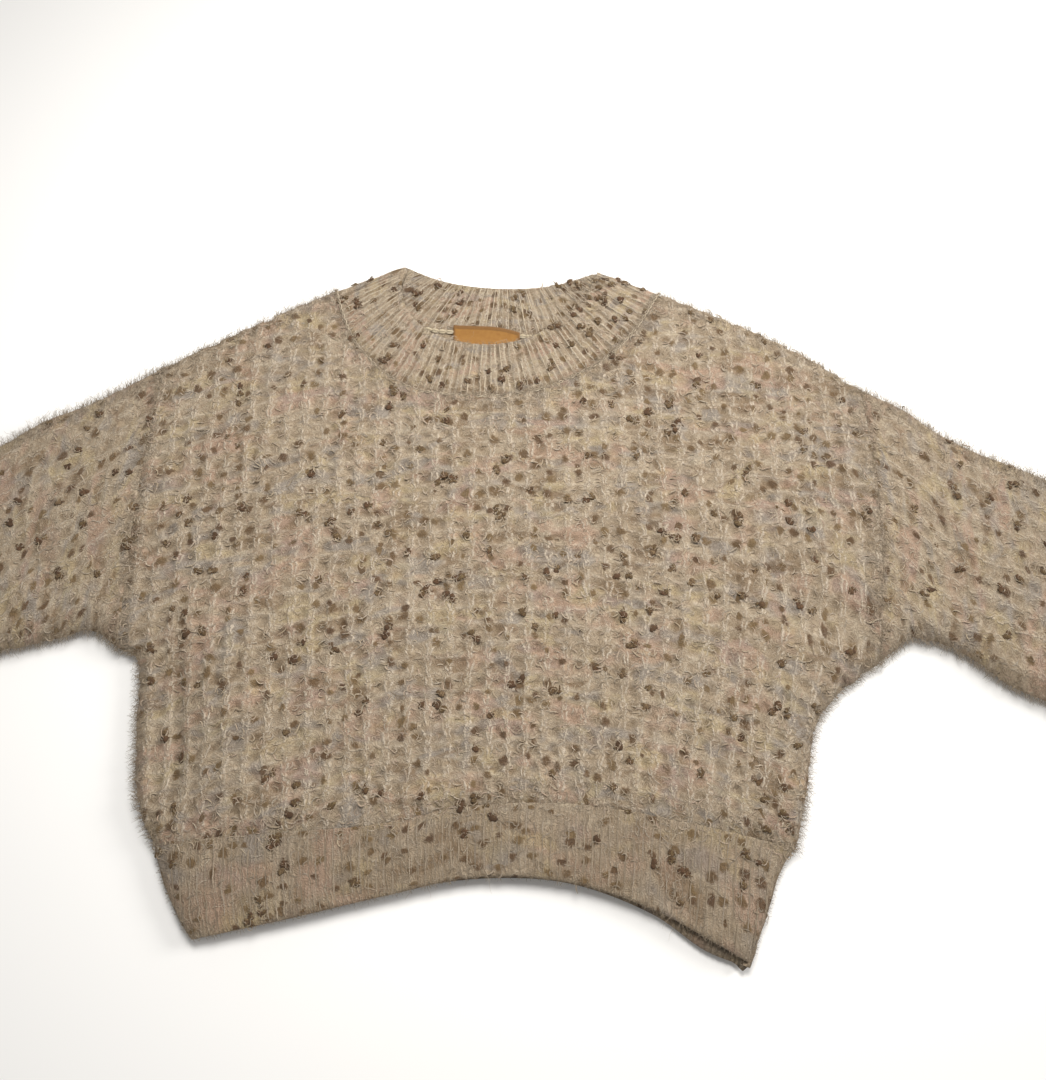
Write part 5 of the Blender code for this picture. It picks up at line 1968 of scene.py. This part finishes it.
def chain(name, line, normals, material, pitch, width):
    lengths = distances(line)
    at = np.linspace(0, lengths[-1], int(round(lengths[-1] / pitch)) + 1)
    knots = resampled(line, at, line)
    normal = unit(resampled(line, at, normals))[:-1]
    ahead = np.diff(knots, axis=0)
    aside = unit(np.cross(normal, ahead))
    share = np.linspace(0, 1, LINK_POINTS)
    arch = np.sin(math.pi * share)[None, :, None]
    paths, facing = [], []
    for hand in (-1.0, 1.0):
        straight = knots[:-1, None] + ahead[:, None] * (share * 1.2 - 0.1)[None, :, None]
        paths.append(straight + aside[:, None] * arch * hand * 0.8 + normal[:, None] * (0.25 + 0.45 * arch))
        facing.append(unit(normal + aside * hand * 0.6))
    paths, facing = np.vstack(paths), np.vstack(facing)
    widths = width * np.broadcast_to(0.55 + 0.45 * arch[0, :, 0], (len(paths), LINK_POINTS))
    shades = np.random.default_rng(len(paths)).random(len(paths))
    return ribbons(name, paths, facing, widths, shades, material)


ABOVE_SEAM = 1.2
neck_front, neck_back = surfaces["neck_front"], surfaces["neck_back"]
seam_line = neck_front.points[0] + neck_front.normals[0] * ABOVE_SEAM
chain("front_neck_chain", seam_line, neck_front.normals[0], wool["combed_strands"], pitch=5.0, width=0.9)
BESIDE_BAND = [
    Patch(("front",), 9000, 234, neck_seam_cells),
    Patch(("neck_front",), 9000, 235, some_rows(0, 4)),
]
add_curls(Curls("neck_seam_curls", BESIDE_BAND, 236, "combed_strands", 5.5, 0.6))
low_line = neck_back.points[0] + neck_back.normals[0] * ABOVE_SEAM - np.array((0.0, 1.8, 0.0))
for side, start, end in (("left", -55, -31), ("right", 21, 48)):
    seen = (low_line[:, 0] > start) & (low_line[:, 0] < end)
    normals = neck_back.normals[0][seen]
    chain(side + "_neck_cord", low_line[seen], normals, wool["pale_cord"], pitch=5.6, width=2.6)

# %% [markdown]
# ## Table top and light
# A pale matt table keeps the eye on the wool. An overhead lamp stands above the neck, a window gives a
# softer light from the right, and an even sky fills the shadows. Sharp lamps would make the curls look
# like wire. The picture is shown without a film look, so that the wool keeps its colours.

# %% Table top
TABLE_HALF = 3.0
TABLE_LEVEL = -0.0002


def make_table():
    mesh = bpy.data.meshes.new("table_top")
    corners = [(x * TABLE_HALF, y * TABLE_HALF, TABLE_LEVEL) for x, y in ((-1, -1), (1, -1), (1, 1), (-1, 1))]
    mesh.from_pydata(corners, [], [(0, 1, 2, 3)])
    table = bpy.data.objects.new("table_top", mesh)
    bpy.context.scene.collection.objects.link(table)
    material, _, shader = new_material("matt_table")
    shader.inputs["Base Color"].default_value = linear(236, 234, 231)
    shader.inputs["Roughness"].default_value = 0.9
    mesh.materials.append(material)
    return table


print("the sweater lies on", make_table().name)

# %% Lights
Lamp = namedtuple("Lamp", "name place aim size power spread")
LAMP_COLOUR = (1.0, 0.99, 0.97)
LAMPS = (
    Lamp("overhead", (0.08, 0.39, 0.95), (0.06, 0.08, 0.0), 0.5, 5.7, 118),
    Lamp("window", (2.3, 0.7, 1.15), (0.0, 0.0, 0.0), 0.9, 46, 180),
)
SKY = 0.36


def area_light(lamp):
    disk = bpy.data.lights.new(lamp.name, "AREA")
    disk.shape = "DISK"
    disk.size = lamp.size
    disk.energy = lamp.power
    disk.color = LAMP_COLOUR
    disk.spread = math.radians(lamp.spread)
    light = bpy.data.objects.new(lamp.name, disk)
    light.location = lamp.place
    light.rotation_euler = (Vector(lamp.aim) - Vector(lamp.place)).to_track_quat("-Z", "Y").to_euler()
    bpy.context.scene.collection.objects.link(light)
    print(lamp.name, "gives", lamp.power, "W")


def sky(strength):
    world = bpy.data.worlds.new("even_sky")
    world.use_nodes = True
    background = world.node_tree.nodes["Background"]
    background.inputs["Color"].default_value = (1.0, 1.0, 1.0, 1.0)
    background.inputs["Strength"].default_value = strength
    bpy.context.scene.world = world


bpy.context.scene.view_settings.view_transform = "Standard"
for lamp in LAMPS:
    area_light(lamp)
sky(SKY)

# %% [markdown]
# ## Cloth facts
# Each panel is a sheet of knit. Its flat size is the cut of what lies here, all the way round on a tube,
# as width and length in metres, with the real area of its shape in square metres.

# %% Sheets
Cut = namedtuple("Cut", "width length area lies_on")
